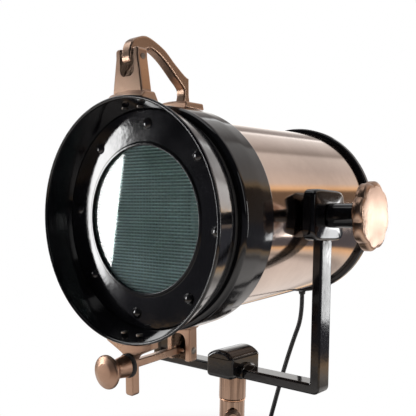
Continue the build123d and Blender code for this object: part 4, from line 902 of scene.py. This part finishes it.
def make_hinge_arm():
    """Swan-neck arm: a plate between an outer and an inner curve with rounded edges, on a saddle foot."""
    s, h = pin_place("hinge_pin")
    _, collar_rear, _, collar_r = head_reach("front_collar")
    foot_rear = collar_rear + 6.0 * MM
    foot_front, foot_top = foot_rear - 24.0 * MM, collar_r + 5.6 * MM
    post_rear = foot_front + 20.64 * MM
    post_front = post_rear - 6.4 * MM
    half, foot_half, eye_r = 5.25 * MM, 19.0 * MM, 7 * MM

    def at(ds, dh):
        """A point by its distance in millimetres behind and above the hinge pin."""
        return (s + ds * MM, h + dh * MM)

    outer = smooth_curve([at(-7, 0), at(-3.5, 12.6), at(6.5, 18.8), at(17, 19.6), at(35, 12.6), at(50, 1.6),
                          (post_rear, foot_top + 22.0 * MM)], (0, 1), (1, -0.3))
    post = [(post_rear, foot_top + 6.0 * MM), (post_rear + 1.5 * MM, collar_r + 1.0 * MM),
            (post_front - 3.0 * MM, collar_r + 1.0 * MM), (post_front, foot_top + 6.0 * MM)]
    inner = smooth_curve([(post_front, foot_top + 11.0 * MM), at(50.5, -10), at(34, 3.4), at(19.5, 10),
                          at(9.5, 7), at(7, -1)], (-0.5, 0.8), (-0.2, -1))
    a = np.radians(np.linspace(-8, -172, 14))[1:-1]
    eye = np.stack([s + eye_r * np.cos(a), h + eye_r * np.sin(a)], -1)
    outline = np.concatenate([outer, post, inner, eye])
    foot = rounded([(foot_front, collar_r, 0), (foot_rear, collar_r, 0), (foot_rear, foot_top, 1.6 * MM),
                    (foot_front, foot_top, 1.6 * MM)], 5, close=True)
    return joined([plate(outline, -half, half, 1.5 * MM, across),
                   plate(foot, -foot_half, foot_half, 1.2 * MM, saddled(collar_r), rows=14)])


def make_clevis():
    """Two ears with a rounded slot between them, spreading into a thin foot that follows the hood."""
    s, h = pin_place("hinge_pin")
    front, rear, top = s - 5.75 * MM, s + 5.75 * MM, h + 7.5 * MM
    half, root, gap, foot_half = 13.0 * MM, 17.0 * MM, 6.5 * MM, 21.0 * MM
    level, floor = hood_radius(front) + 8.0 * MM, h - 14.0 * MM
    skirt = level - 8 * MM
    corners = [(root, level, 2.0 * MM), (half, h, 12.0 * MM), (half, top, 2.6 * MM), (gap, top, 1.4 * MM),
               (gap, floor, 3.0 * MM), (-gap, floor, 3.0 * MM), (-gap, top, 1.4 * MM), (-half, top, 2.6 * MM),
               (-half, h, 12.0 * MM), (-root, level, 2.0 * MM)]
    side = rounded([(root, skirt, 0), *corners, (-root, skirt, 0)], 5)
    outline = np.concatenate([arc_edge(hood_radius(front) - 1.2 * MM, root), side])
    nose, heel = front - 4.5 * MM, head_reach("door_seal")[0] - 2.2 * MM
    sunk, thick = -0.5 * MM, 3.6 * MM
    corners = [(nose, hood_radius(nose) + sunk, 0), (nose, hood_radius(nose) + 2.4 * MM, 1.6 * MM),
               (front, level, 2.5 * MM), (rear, level, 2.0 * MM),
               (rear + 4 * MM, hood_radius(rear) + thick, 2.5 * MM),
               (heel, hood_radius(heel) + thick, 1.4 * MM), (heel, hood_radius(heel) + sunk, 0)]
    foot = rounded(corners, 4, close=True)
    return joined([plate(outline, front, rear, 1.3 * MM, facing),
                   plate(foot, -foot_half, foot_half, 1.4 * MM, saddled(hood_radius(s)), rows=14)])


def make_lug():
    """Gusset under the hood that narrows in two curves to a leg, with a rounded edge all round."""
    low, high = head_box("latch_lug")
    front, rear, tip = low[1], high[1], low[2]
    rim = head_reach("door_hood")[3]
    web, leg = 27.0 * MM, 4.5 * MM
    skirt, waist = -rim - 1.0 * MM, -rim - 11.0 * MM
    top = arc_edge(hood_radius(front) - 1.2 * MM, web, -1, 25)
    corners = [(web, skirt, 1.2 * MM), (leg, waist, 9.0 * MM), (leg, tip, 2.4 * MM), (-leg, tip, 2.4 * MM),
               (-leg, waist, 9.0 * MM), (-web, skirt, 1.2 * MM)]
    side = rounded([(web, skirt + 4 * MM, 0), *corners, (-web, skirt + 4 * MM, 0)], 6)[1:-1]
    return plate(np.concatenate([top, side]), front, rear, 1.1 * MM, facing)


def make_fork():
    """Two legs under an arch, below a thin saddle that lies on the collar."""
    s, _ = pin_place("latch_pin")
    _, rear, _, r = head_reach("front_collar")
    tip = head_box("latch_fork")[0][2]
    half, gap, arch = 14.0 * MM, 7.0 * MM, -r - 8.5 * MM
    depth, pad_half = 5 * MM, 15.5 * MM
    pad_front, pad_top, pad_low = rear - 16 * MM, -r + 0.4 * MM, -r - 3 * MM
    top = arc_edge(r - 1.0 * MM, half, -1)
    corners = [(half, tip, 2.4 * MM), (gap, tip, 1.6 * MM), (gap, arch, 5.5 * MM), (-gap, arch, 5.5 * MM),
               (-gap, tip, 1.6 * MM), (-half, tip, 2.4 * MM)]
    side = rounded([(half, -r - 2 * MM, 0), *corners, (-half, -r - 2 * MM, 0)], 6)
    pad = rounded([(pad_front, pad_top, 0), (pad_front, pad_low, 1.4 * MM), (rear, pad_low, 1.4 * MM),
                   (rear, pad_top, 0)], 4, close=True)
    return joined([plate(np.concatenate([top, side]), s - depth, s + depth, 1.3 * MM, facing),
                   plate(pad, -pad_half, pad_half, 1.1 * MM, saddled(r), rows=10)])


def make_rod():
    """Square rod with eased edges that ends in a barrel across the fork."""
    s, h = pin_place("latch_pin")
    front = head_box("latch_rod")[0][1]
    half, ease = 3.2 * MM, 1.0 * MM
    barrel_r, barrel_half = 5.2 * MM, 6.7 * MM
    square = rounded([(-half, h - half, ease), (half, h - half, ease), (half, h + half, ease),
                      (-half, h + half, ease)], 3, close=True)
    bar = plate(square, front, s, 0.5 * MM, facing)
    t = np.linspace(0, 2 * math.pi, 40, endpoint=False)
    ring = np.stack([s + barrel_r * np.cos(t), h + barrel_r * np.sin(t)], -1)
    return joined([bar, plate(ring, -barrel_half, barrel_half, 0.7 * MM, across)])


def make_yoke():
    """Flat bar bent into a U: its outline seen along the lamp's axis, carried across the bar's width."""
    low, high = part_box("yoke_frame")
    out, bottom, top, width = high.x, low.z, high.z, high.y
    inn, bar_top = out - YOKE_BAR, bottom + YOKE_BAR
    corners = [(-out, top, 0), (-out, bottom, 6.0 * MM), (out, bottom, 6.0 * MM), (out, top, 0),
               (inn, top, 0), (inn, bar_top, 2.0 * MM), (-inn, bar_top, 2.0 * MM), (-inn, top, 0)]
    return plate(rounded(corners, 8, close=True), -width, width, 1.7 * MM, front_on)


def make_hub():
    """Saddle block with full edges and a top that is an arc of a circle, and an arched lip where the bar
    comes out."""
    low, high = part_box("yoke_hub")
    half, length, bottom, top = 16.0 * MM, high.y, low.z, high.z
    crown, drop, lip_half = 6.5 * MM, 2.2 * MM, 13.0 * MM
    r = (half ** 2 + crown ** 2) / (2 * crown)
    a = np.linspace(-half * 0.86, half * 0.86, 15)
    dome = np.stack([a, top - r + np.sqrt(r ** 2 - a ** 2)], -1)[::-1]
    shoulder = dome[-1][1] - drop
    left = rounded([tuple(dome[-1]) + (0,), (-half, shoulder, 3.0 * MM), (-half, bottom, 4.0 * MM),
                    (half, bottom, 4.0 * MM), (half, shoulder, 3.0 * MM), tuple(dome[0]) + (0,)], 5)
    block = plate(np.concatenate([dome, left[1:-1]]), -length, length, 3.2 * MM, front_on, steps=6)
    bar_top = bottom + YOKE_BAR
    t = np.radians(np.linspace(0, 180, 25))
    arch = np.stack([lip_half * np.cos(t), bar_top - 2.6 * MM + 7.1 * MM * np.sin(t)], -1)
    foot = rounded([(-lip_half, bar_top - 3 * MM, 0), (-lip_half, bottom, 2.0 * MM),
                    (lip_half, bottom, 2.0 * MM), (lip_half, bar_top - 3 * MM, 0)], 4)[1:-1]
    return joined([block, plate(np.concatenate([arch, foot]), low.x, high.x, 1.6 * MM, side_on)])


make("swan_neck_arm", make_hinge_arm(), "head", "cast_bronze", ("hinge_arm",), FITTING_ANGLE)
make("clevis_ears", make_clevis(), "door", "cast_bronze", ("hinge_clevis",), FITTING_ANGLE)
make("latch_leg", make_lug(), "door", "cast_bronze", ("latch_lug",), FITTING_ANGLE)
make("latch_yoke", make_fork(), "head", "cast_bronze", ("latch_fork",), FITTING_ANGLE)
make("latch_bar", make_rod(), "head", "cast_bronze", ("latch_rod",), FITTING_ANGLE)
make("yoke_bar", make_yoke(), "yoke", "black_enamel", ("yoke_frame",), FITTING_ANGLE)
make("hub_block", make_hub(), "yoke", "black_enamel", ("yoke_hub",), FITTING_ANGLE)


# ---------------------------------------------------------------- knobs, bosses and column
KNOB_PROFILE = [(31.0, 0), (9.0, 0), (8.6, 0.1), (1.2, 3.2), (0.4, 3.8), (0.0, 4.6), (0.0, 9.4), (0.3, 10.4),
                (1.0, 11.4), (2.0, 12.2), (2.7, 12.5), (3.2, 12.6), (4.2, 12.68), (12.0, 12.9),
                (22.0, 13.05), (31.0, 13.1)]   # inset from the rim and distance from the back, millimetres


def make_tilt_knob(sign):
    """Hand knob: the radius waves round the knob eight times, the side is straight with a bevel on both
    edges, and the face is flat inside the bevel with a very low crown. The wave dies out over the knob's
    outer part, where the inset is less than its fade."""
    node = "right_tilt_knob" if sign > 0 else "left_tilt_knob"
    low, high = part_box(node)
    start, end = sorted((abs(low.x), abs(high.x)))
    size, dip, lobes, first, fade = 31.0 * MM, 2.9 * MM, 8, math.radians(10.0), 9.0
    t = np.linspace(0, 2 * math.pi, 192, endpoint=False)
    wave = (1 + np.cos(lobes * (t + first))) / 2
    edge = size - dip * (1 - wave ** 0.42)
    inset, depth = np.array(KNOB_PROFILE).T
    wavy = np.clip(1.0 - inset / fade, 0, 1)
    plain = size - dip * 0.5
    r = plain - inset[:, None] * MM + wavy[:, None] * (edge - plain)[None, :]
    r = np.maximum(r, 0)
    x = sign * (start + depth[:, None] * MM + 0 * t[None, :])
    x = np.where(np.abs(x) > end, sign * end, x)
    grid = np.stack([x, r * np.cos(t), PIVOT_Z + r * np.sin(t)], -1)
    return grid.reshape(-1, 3), grid_faces(len(inset), len(t))


def make_boss(sign):
    """Arm boss: a rounded square, |y|^6 + |z|^6 = 1, carried from the arm to its face. Its corners are full,
    and the face falls from its middle to its edge as the share of the way to the power 1.3."""
    node = "right_boss" if sign > 0 else "left_boss"
    low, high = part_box(node)
    inside, outside = sorted((abs(low.x), abs(high.x)))
    half_y, half_z = (high.y - low.y) / 2, (high.z - low.z) / 2
    t = np.linspace(0, 2 * math.pi, 128, endpoint=False)
    c, s = np.cos(t), np.sin(t)
    power, rise = 6.0, 1.5 * MM
    square = (np.abs(c) ** power + np.abs(s) ** power) ** (-1 / power)
    face = outside - rise
    crown_from, crown_to = 0.90, 0.42
    crown = np.linspace(crown_from, crown_to, 13)
    share = np.concatenate([[0.3, 0.97, 1.0, 1.0, 1.0, 0.985, 0.955, 0.93], crown])
    fall = rise * ((crown - crown_to) / (1 - crown_to)) ** 1.3
    x = np.concatenate([[inside, inside, inside + 0.5 * MM, inside + 1.2 * MM, face - 3.6 * MM,
                         face - 1.4 * MM, face - 0.35 * MM, face + 0.08 * MM], outside - fall])
    y = share[:, None] * (square * c)[None, :] * half_y
    z = share[:, None] * (square * s)[None, :] * half_z
    grid = np.stack([sign * x[:, None] + 0 * y, y, PIVOT_Z + z], -1)
    return grid.reshape(-1, 3), grid_faces(len(x), len(t), wrap_rows=True)


def make_spacer(sign):
    """Spacer between an arm's boss and its knob: a plain ring with eased edges."""
    node = "right_spacer" if sign > 0 else "left_spacer"
    low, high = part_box(node)
    a, b = sorted((abs(low.x), abs(high.x)))
    r = (high.z - low.z) / 2
    bore = 0.4 * r
    corners = [(bore, a, 0), (r, a, 0.6 * MM), (r, b, 0.8 * MM), (bore, b, 0)]
    return lathe(rounded(corners, 4, close=True), 64, sideways(sign))


def make_thumb_knob():
    """Mushroom knob: a full domed cap, a waist and a plain stud."""
    low, high = head_box("thumb_knob")
    h, r, front, end = (low[2] + high[2]) / 2, (high[0] - low[0]) / 2, low[1], high[1]
    neck, stud, lip = 7.5 * MM, 1.6 * MM, front + 6.5 * MM
    back = head_box("latch_washer")[0][1] - 0.3 * MM
    corners = [(0, front, 0), (r * 0.55, front + 0.4 * MM, 6 * MM),
               (r - 0.3 * MM, front + 2.4 * MM, 2.6 * MM), (r, front + 4.6 * MM, 2.2 * MM),
               (r - 1.4 * MM, lip, 2.0 * MM), (neck, lip + 5.0 * MM, 6.0 * MM),
               (neck + 1.6 * MM, back, 0.6 * MM), (stud, back, 0), (stud, end, 0.3 * MM), (0, end, 0)]
    return lathe(rounded(corners, 6), 64, about(0, h), close=False)


def make_column():
    """Column tube, plain and open at the top under its ring."""
    foot, top, r = upright_reach("column_tube")
    bore = r - 1.5 * MM
    corners = [(bore, foot, 0), (r, foot, 0), (r, top, 0.3 * MM), (bore, top, 0.2 * MM)]
    return lathe(rounded(corners, 3, close=True), TUBE_STEPS, upright)


def make_sleeve():
    """Swivel sleeve: a tube with eased edges, closed at the top."""
    foot, top, r = upright_reach("column_sleeve")
    bore, ceiling = r - 1.4 * MM, top - 3 * MM
    corners = [(0, ceiling, 0), (bore, ceiling, 0), (bore, foot, 0.2 * MM), (r, foot, 0.5 * MM),
               (r, top, 0.2 * MM), (0, top, 0)]
    return lathe(rounded(corners, 3), TUBE_STEPS, upright, close=False)


def make_thrust_ring():
    """Thrust ring: a flat ring with rounded outer edges."""
    foot, top, r = upright_reach("thrust_ring")
    bore = r - 2.0 * MM
    corners = [(bore, foot, 0), (r, foot, 0.5 * MM), (r, top, 0.5 * MM), (bore, top, 0)]
    return lathe(rounded(corners, 4, close=True), TUBE_STEPS, upright)


def make_base():
    """Base: a disc with a rounded rim. Its top rises to a flat hub on a line that a parabola hollows."""
    bottom, hub_top, r = upright_reach("base_casting")
    hub, recess = 30.0 * MM, r - 14 * MM
    share = np.linspace(0, 1, 14)[:, None]
    start, end = np.array([r - 3 * MM, bottom + 9 * MM]), np.array([hub, hub_top])
    sag = np.array([0.0, -3.0 * MM])
    top = start + (end - start) * share + 4 * share * (1 - share) * sag
    side = np.array([[recess, bottom], [r - 2 * MM, bottom], [r - 0.7 * MM, bottom + 1.2 * MM],
                     [r, bottom + 3.4 * MM], [r, bottom + 5.4 * MM], [r - 0.8 * MM, bottom + 7.6 * MM],
                     [r - 1.8 * MM, bottom + 8.6 * MM]])
    ring = np.array([[hub - 0.8 * MM, hub_top], [COLUMN_BORE_R, hub_top]])
    under = np.array([[COLUMN_BORE_R, bottom + 9 * MM], [recess, bottom + 5 * MM]])
    return lathe(np.concatenate([side, top, ring, under]), 144, upright)


def make_foot_flange():
    """Flange at the column's foot: a thin plate that rises in a hollow to a short collar."""
    foot, top, r = upright_reach("column_flange")
    bore, collar = COLUMN_BORE_R, COLUMN_BORE_R + 3.5 * MM
    corners = [(bore, foot, 0), (r, foot, 0.3 * MM), (r, foot + 3 * MM, 1.2 * MM),
               (bore + 4.4 * MM, foot + 4.6 * MM, 1.6 * MM), (collar, foot + 6.5 * MM, 1.0 * MM),
               (collar, top, 1.2 * MM), (bore, top, 0.2 * MM)]
    return lathe(rounded(corners, 5, close=True), 96, upright)


for side, sign in (("right", 1), ("left", -1)):
    make(side + "_hand_knob", make_tilt_knob(sign), side + "_knob", "cast_bronze", (side + "_tilt_knob",))
    make(side + "_arm_boss", make_boss(sign), "yoke", "black_enamel", (side + "_boss",))
    make(side + "_arm_spacer", make_spacer(sign), "yoke", "black_enamel", (side + "_spacer",))
make("latch_thumb_knob", make_thumb_knob(), "latch_knob", "cast_bronze", ("thumb_knob",))
make("column_pipe", make_column(), "stand", "aged_bronze", ("column_tube",))
make("swivel_sleeve", make_sleeve(), "yoke", "aged_bronze", ("column_sleeve",))
make("copper_ring", make_thrust_ring(), "stand", "bright_copper", ("thrust_ring",))
make("base_disc", make_base(), "stand", "black_enamel", ("base_casting",))
make("foot_flange", make_foot_flange(), "stand", "cast_bronze", ("column_flange",))


# ---------------------------------------------------------------- floor, light and camera
# colours that the floor shows in reflections, by the distance from the middle in metres
FLOOR_SEEN = [
    (0.0, (1.2, 1.16, 1.12)), (0.60, (1.0, 0.94, 0.90)), (0.70, (0.42, 0.38, 0.36)),
    (0.76, (0.9, 0.8, 0.7)), (0.88, (1.3, 0.84, 0.46)), (0.95, (0.13, 0.13, 0.15)),
]
# colours that the room shows in reflections, by the angle in degrees from +X up and over to -X
ROOM_SEEN = [
    (0, (0.20, 0.15, 0.12)), (33, (0.22, 0.15, 0.10)), (37, (1.30, 0.86, 0.48)), (44, (0.95, 0.84, 0.76)),
    (62, (0.80, 0.74, 0.71)), (83, (0.90, 0.86, 0.83)), (87, (0.42, 0.38, 0.36)), (100, (0.74, 0.70, 0.68)),
    (118, (1.05, 1.02, 1.0)), (121, (1.9, 1.9, 1.9)), (125, (0.34, 0.31, 0.30)), (136, (0.50, 0.46, 0.44)),
    (148, (1.3, 1.26, 1.22)), (180, (1.8, 1.8, 1.8)),
]
ROOM_FRONT = (0.50, 0.52, 0.60)
CAMERA_PLACE = (0.3605, -0.4972, 0.3164)
CAMERA_LOOK = (-0.6259, 0.7796, 0.0223)
CAMERA_RIGHT = (0.7798, 0.6260, 0.0)
CAMERA_ROLL = math.radians(1.61)
CAMERA_LENS, CAMERA_SENSOR = 51.82, 36.0       # millimetres


def colour_ramp(tree, stops):
    """A colour ramp with the given (position, colour) stops, in order."""
    node = tree.nodes.new("ShaderNodeValToRGB")
    ramp = node.color_ramp
    for k, (position, colour) in enumerate(stops):
        stop = ramp.elements[k] if k < 2 else ramp.elements.new(position)
        stop.position = position
        stop.color = (*colour, 1)
    return node


def make_floor():
    """Pale floor: diffuse near the lamp, so that it takes the shadow, and farther out pure white to the
    camera and the colours of FLOOR_SEEN to reflections. It is a disc, a hair below the lamp's felt."""
    t = np.linspace(0, 2 * math.pi, 96, endpoint=False)
    r = np.array([0.0, 0.4, 1.0, 3.0, 12.0])[:, None]
    below = -0.00002
    grid = np.stack([r * np.cos(t), r * np.sin(t), 0 * r * t + below], -1)
    floor = build("floor", grid.reshape(-1, 3), grid_faces(len(r), len(t)))
    material = bpy.data.materials.new("pale_floor")
    material.use_nodes = True
    tree = material.node_tree
    tree.nodes.clear()
    out = tree.nodes.new("ShaderNodeOutputMaterial")
    diffuse = add(tree, "ShaderNodeBsdfDiffuse", Color=(0.86, 0.86, 0.86, 1))
    glow = add(tree, "ShaderNodeEmission", Color=(1, 1, 1, 1), Strength=1.0)
    mix = tree.nodes.new("ShaderNodeMixShader")
    place = tree.nodes.new("ShaderNodeTexCoord")
    length = add(tree, "ShaderNodeVectorMath", operation="LENGTH")
    reach = add(tree, "ShaderNodeMapRange", From_Min=0.16, From_Max=0.42, interpolation_type="SMOOTHSTEP")
    far = colour_ramp(tree, FLOOR_SEEN)
    room = add(tree, "ShaderNodeEmission", Strength=1.0)
    split = tree.nodes.new("ShaderNodeMixShader")
    rays = tree.nodes.new("ShaderNodeLightPath")
    seen = add(tree, "ShaderNodeMath", operation="MAXIMUM")
    share = add(tree, "ShaderNodeMath", operation="MULTIPLY")
    link = tree.links.new
    link(place.outputs["Object"], length.inputs[0])
    link(length.outputs["Value"], reach.inputs["Value"])
    link(length.outputs["Value"], far.inputs[0])
    link(far.outputs[0], room.inputs["Color"])
    link(rays.outputs["Is Glossy Ray"], split.inputs[0])
    link(glow.outputs[0], split.inputs[1])
    link(room.outputs[0], split.inputs[2])
    link(rays.outputs["Is Camera Ray"], seen.inputs[0])
    link(rays.outputs["Is Glossy Ray"], seen.inputs[1])
    link(reach.outputs[0], share.inputs[0])
    link(seen.outputs[0], share.inputs[1])
    link(share.outputs[0], mix.inputs[0])
    link(diffuse.outputs[0], mix.inputs[1])
    link(split.outputs[0], mix.inputs[2])
    link(mix.outputs[0], out.inputs["Surface"])
    floor.data.materials.append(material)


def make_world():
    """Studio: plain white to the camera. In reflections the part behind the lamp has the bands of ROOM_SEEN,
    by the angle about the Y axis, brighter straight behind, and the front is a dim grey."""
    world = bpy.data.worlds.new("studio")
    bpy.context.scene.world = world
    world.use_nodes = True
    tree = world.node_tree
    tree.nodes.clear()
    out = tree.nodes.new("ShaderNodeOutputWorld")
    plain = add(tree, "ShaderNodeBackground", Color=(1, 1, 1, 1), Strength=1.0)
    room = add(tree, "ShaderNodeBackground", Color=(1, 1, 1, 1))
    mix = tree.nodes.new("ShaderNodeMixShader")
    rays = tree.nodes.new("ShaderNodeLightPath")
    place = tree.nodes.new("ShaderNodeTexCoord")
    parts = tree.nodes.new("ShaderNodeSeparateXYZ")
    turn = add(tree, "ShaderNodeMath", operation="ARCTAN2")
    share = add(tree, "ShaderNodeMapRange", From_Min=0.0, From_Max=math.pi)
    bands = colour_ramp(tree, [(angle / 180, colour) for angle, colour in ROOM_SEEN])
    back = add(tree, "ShaderNodeMapRange", From_Min=-0.05, From_Max=0.45, To_Min=0.06, To_Max=1.0,
               interpolation_type="SMOOTHSTEP")
    tint = add(tree, "ShaderNodeMix", data_type="RGBA")
    tint.inputs[6].default_value = (*ROOM_FRONT, 1)
    straight = add(tree, "ShaderNodeMapRange", From_Min=0.90, From_Max=0.98, To_Min=1.0, To_Max=3.0,
                   interpolation_type="SMOOTHSTEP")
    both = add(tree, "ShaderNodeMath", operation="MULTIPLY")
    link = tree.links.new
    link(place.outputs["Generated"], parts.inputs[0])
    link(parts.outputs["Z"], turn.inputs[0])
    link(parts.outputs["X"], turn.inputs[1])
    link(turn.outputs[0], share.inputs["Value"])
    link(share.outputs[0], bands.inputs[0])
    link(bands.outputs[0], tint.inputs[7])
    link(back.outputs[0], tint.inputs[0])
    link(tint.outputs[2], room.inputs["Color"])
    link(parts.outputs["Y"], back.inputs["Value"])
    link(parts.outputs["Y"], straight.inputs["Value"])
    link(back.outputs[0], both.inputs[0])
    link(straight.outputs[0], both.inputs[1])
    link(both.outputs[0], room.inputs["Strength"])
    link(rays.outputs["Is Camera Ray"], mix.inputs[0])
    link(room.outputs[0], mix.inputs[1])
    link(plain.outputs[0], mix.inputs[2])
    link(mix.outputs[0], out.inputs["Surface"])


def softbox(name, azimuth, level, width, height, radiance, lean=0.0, distance=1.5):
    """Area lamp of a given radiance that faces the head. The azimuth is in degrees from +X towards +Y, the
    level is its rise over its way out, the lean turns it in its own plane, and the distance is in metres."""
    lamp = bpy.data.lights.new(name, "AREA")
    lamp.shape = "RECTANGLE"
    lamp.size, lamp.size_y = width, height
    lamp.energy = radiance * math.pi * width * height
    obj = bpy.data.objects.new(name, lamp)
    bpy.context.scene.collection.objects.link(obj)
    a = math.radians(azimuth)
    place = Vector((math.cos(a), math.sin(a), level)) * distance
    obj.location = place + Vector((0.0, 0.0, PIVOT_Z))
    obj.rotation_mode = "QUATERNION"
    obj.rotation_quaternion = (-place).to_track_quat("-Z", "Y") @ Quaternion((0, 0, 1), math.radians(lean))


def make_light():
    """A leaning lamp and a high fill at the front left, two small lamps behind at the right for the knob
    and the arm, a narrow strip and a large dim lamp at the right, and a soft lamp overhead."""
    softbox("front_left_box", azimuth=220.0, level=-0.075, width=0.28, height=0.62, radiance=17.0,
            lean=-10.0)
    softbox("left_fill_box", azimuth=200.0, level=0.7, width=0.9, height=0.9, radiance=2.4)
    softbox("knob_box", azimuth=62.9, level=0.01, width=0.17, height=0.30, radiance=10.0)
    softbox("arm_box", azimuth=60.5, level=-0.145, width=0.13, height=0.27, radiance=6.5)
    softbox("right_strip", azimuth=28.0, level=0.0, width=0.10, height=0.75, radiance=12.0)
    softbox("front_right_box", azimuth=-17.0, level=0.35, width=0.35, height=0.9, radiance=1.4)
    softbox("top_box", azimuth=243.0, level=5.0, width=0.9, height=0.6, radiance=1.2, distance=0.26)


def make_camera():
    """Camera at its place, looking along its direction and rolled a little about it."""
    look = Vector(CAMERA_LOOK).normalized()
    right = Vector(CAMERA_RIGHT).normalized()
    up = right.cross(look)
    side = right * math.cos(CAMERA_ROLL) + up * math.sin(CAMERA_ROLL)
    top = up * math.cos(CAMERA_ROLL) - right * math.sin(CAMERA_ROLL)
    camera = bpy.data.cameras.new("camera")
    camera.lens, camera.sensor_width = CAMERA_LENS, CAMERA_SENSOR
    obj = bpy.data.objects.new("camera", camera)
    bpy.context.scene.collection.objects.link(obj)
    turn = Matrix((side, top, -look)).transposed()
    obj.matrix_world = Matrix.Translation(CAMERA_PLACE) @ turn.to_4x4()
    bpy.context.scene.camera = obj


make_floor()
make_world()
make_light()
make_camera()
bpy.context.scene.view_settings.view_transform = "Standard"
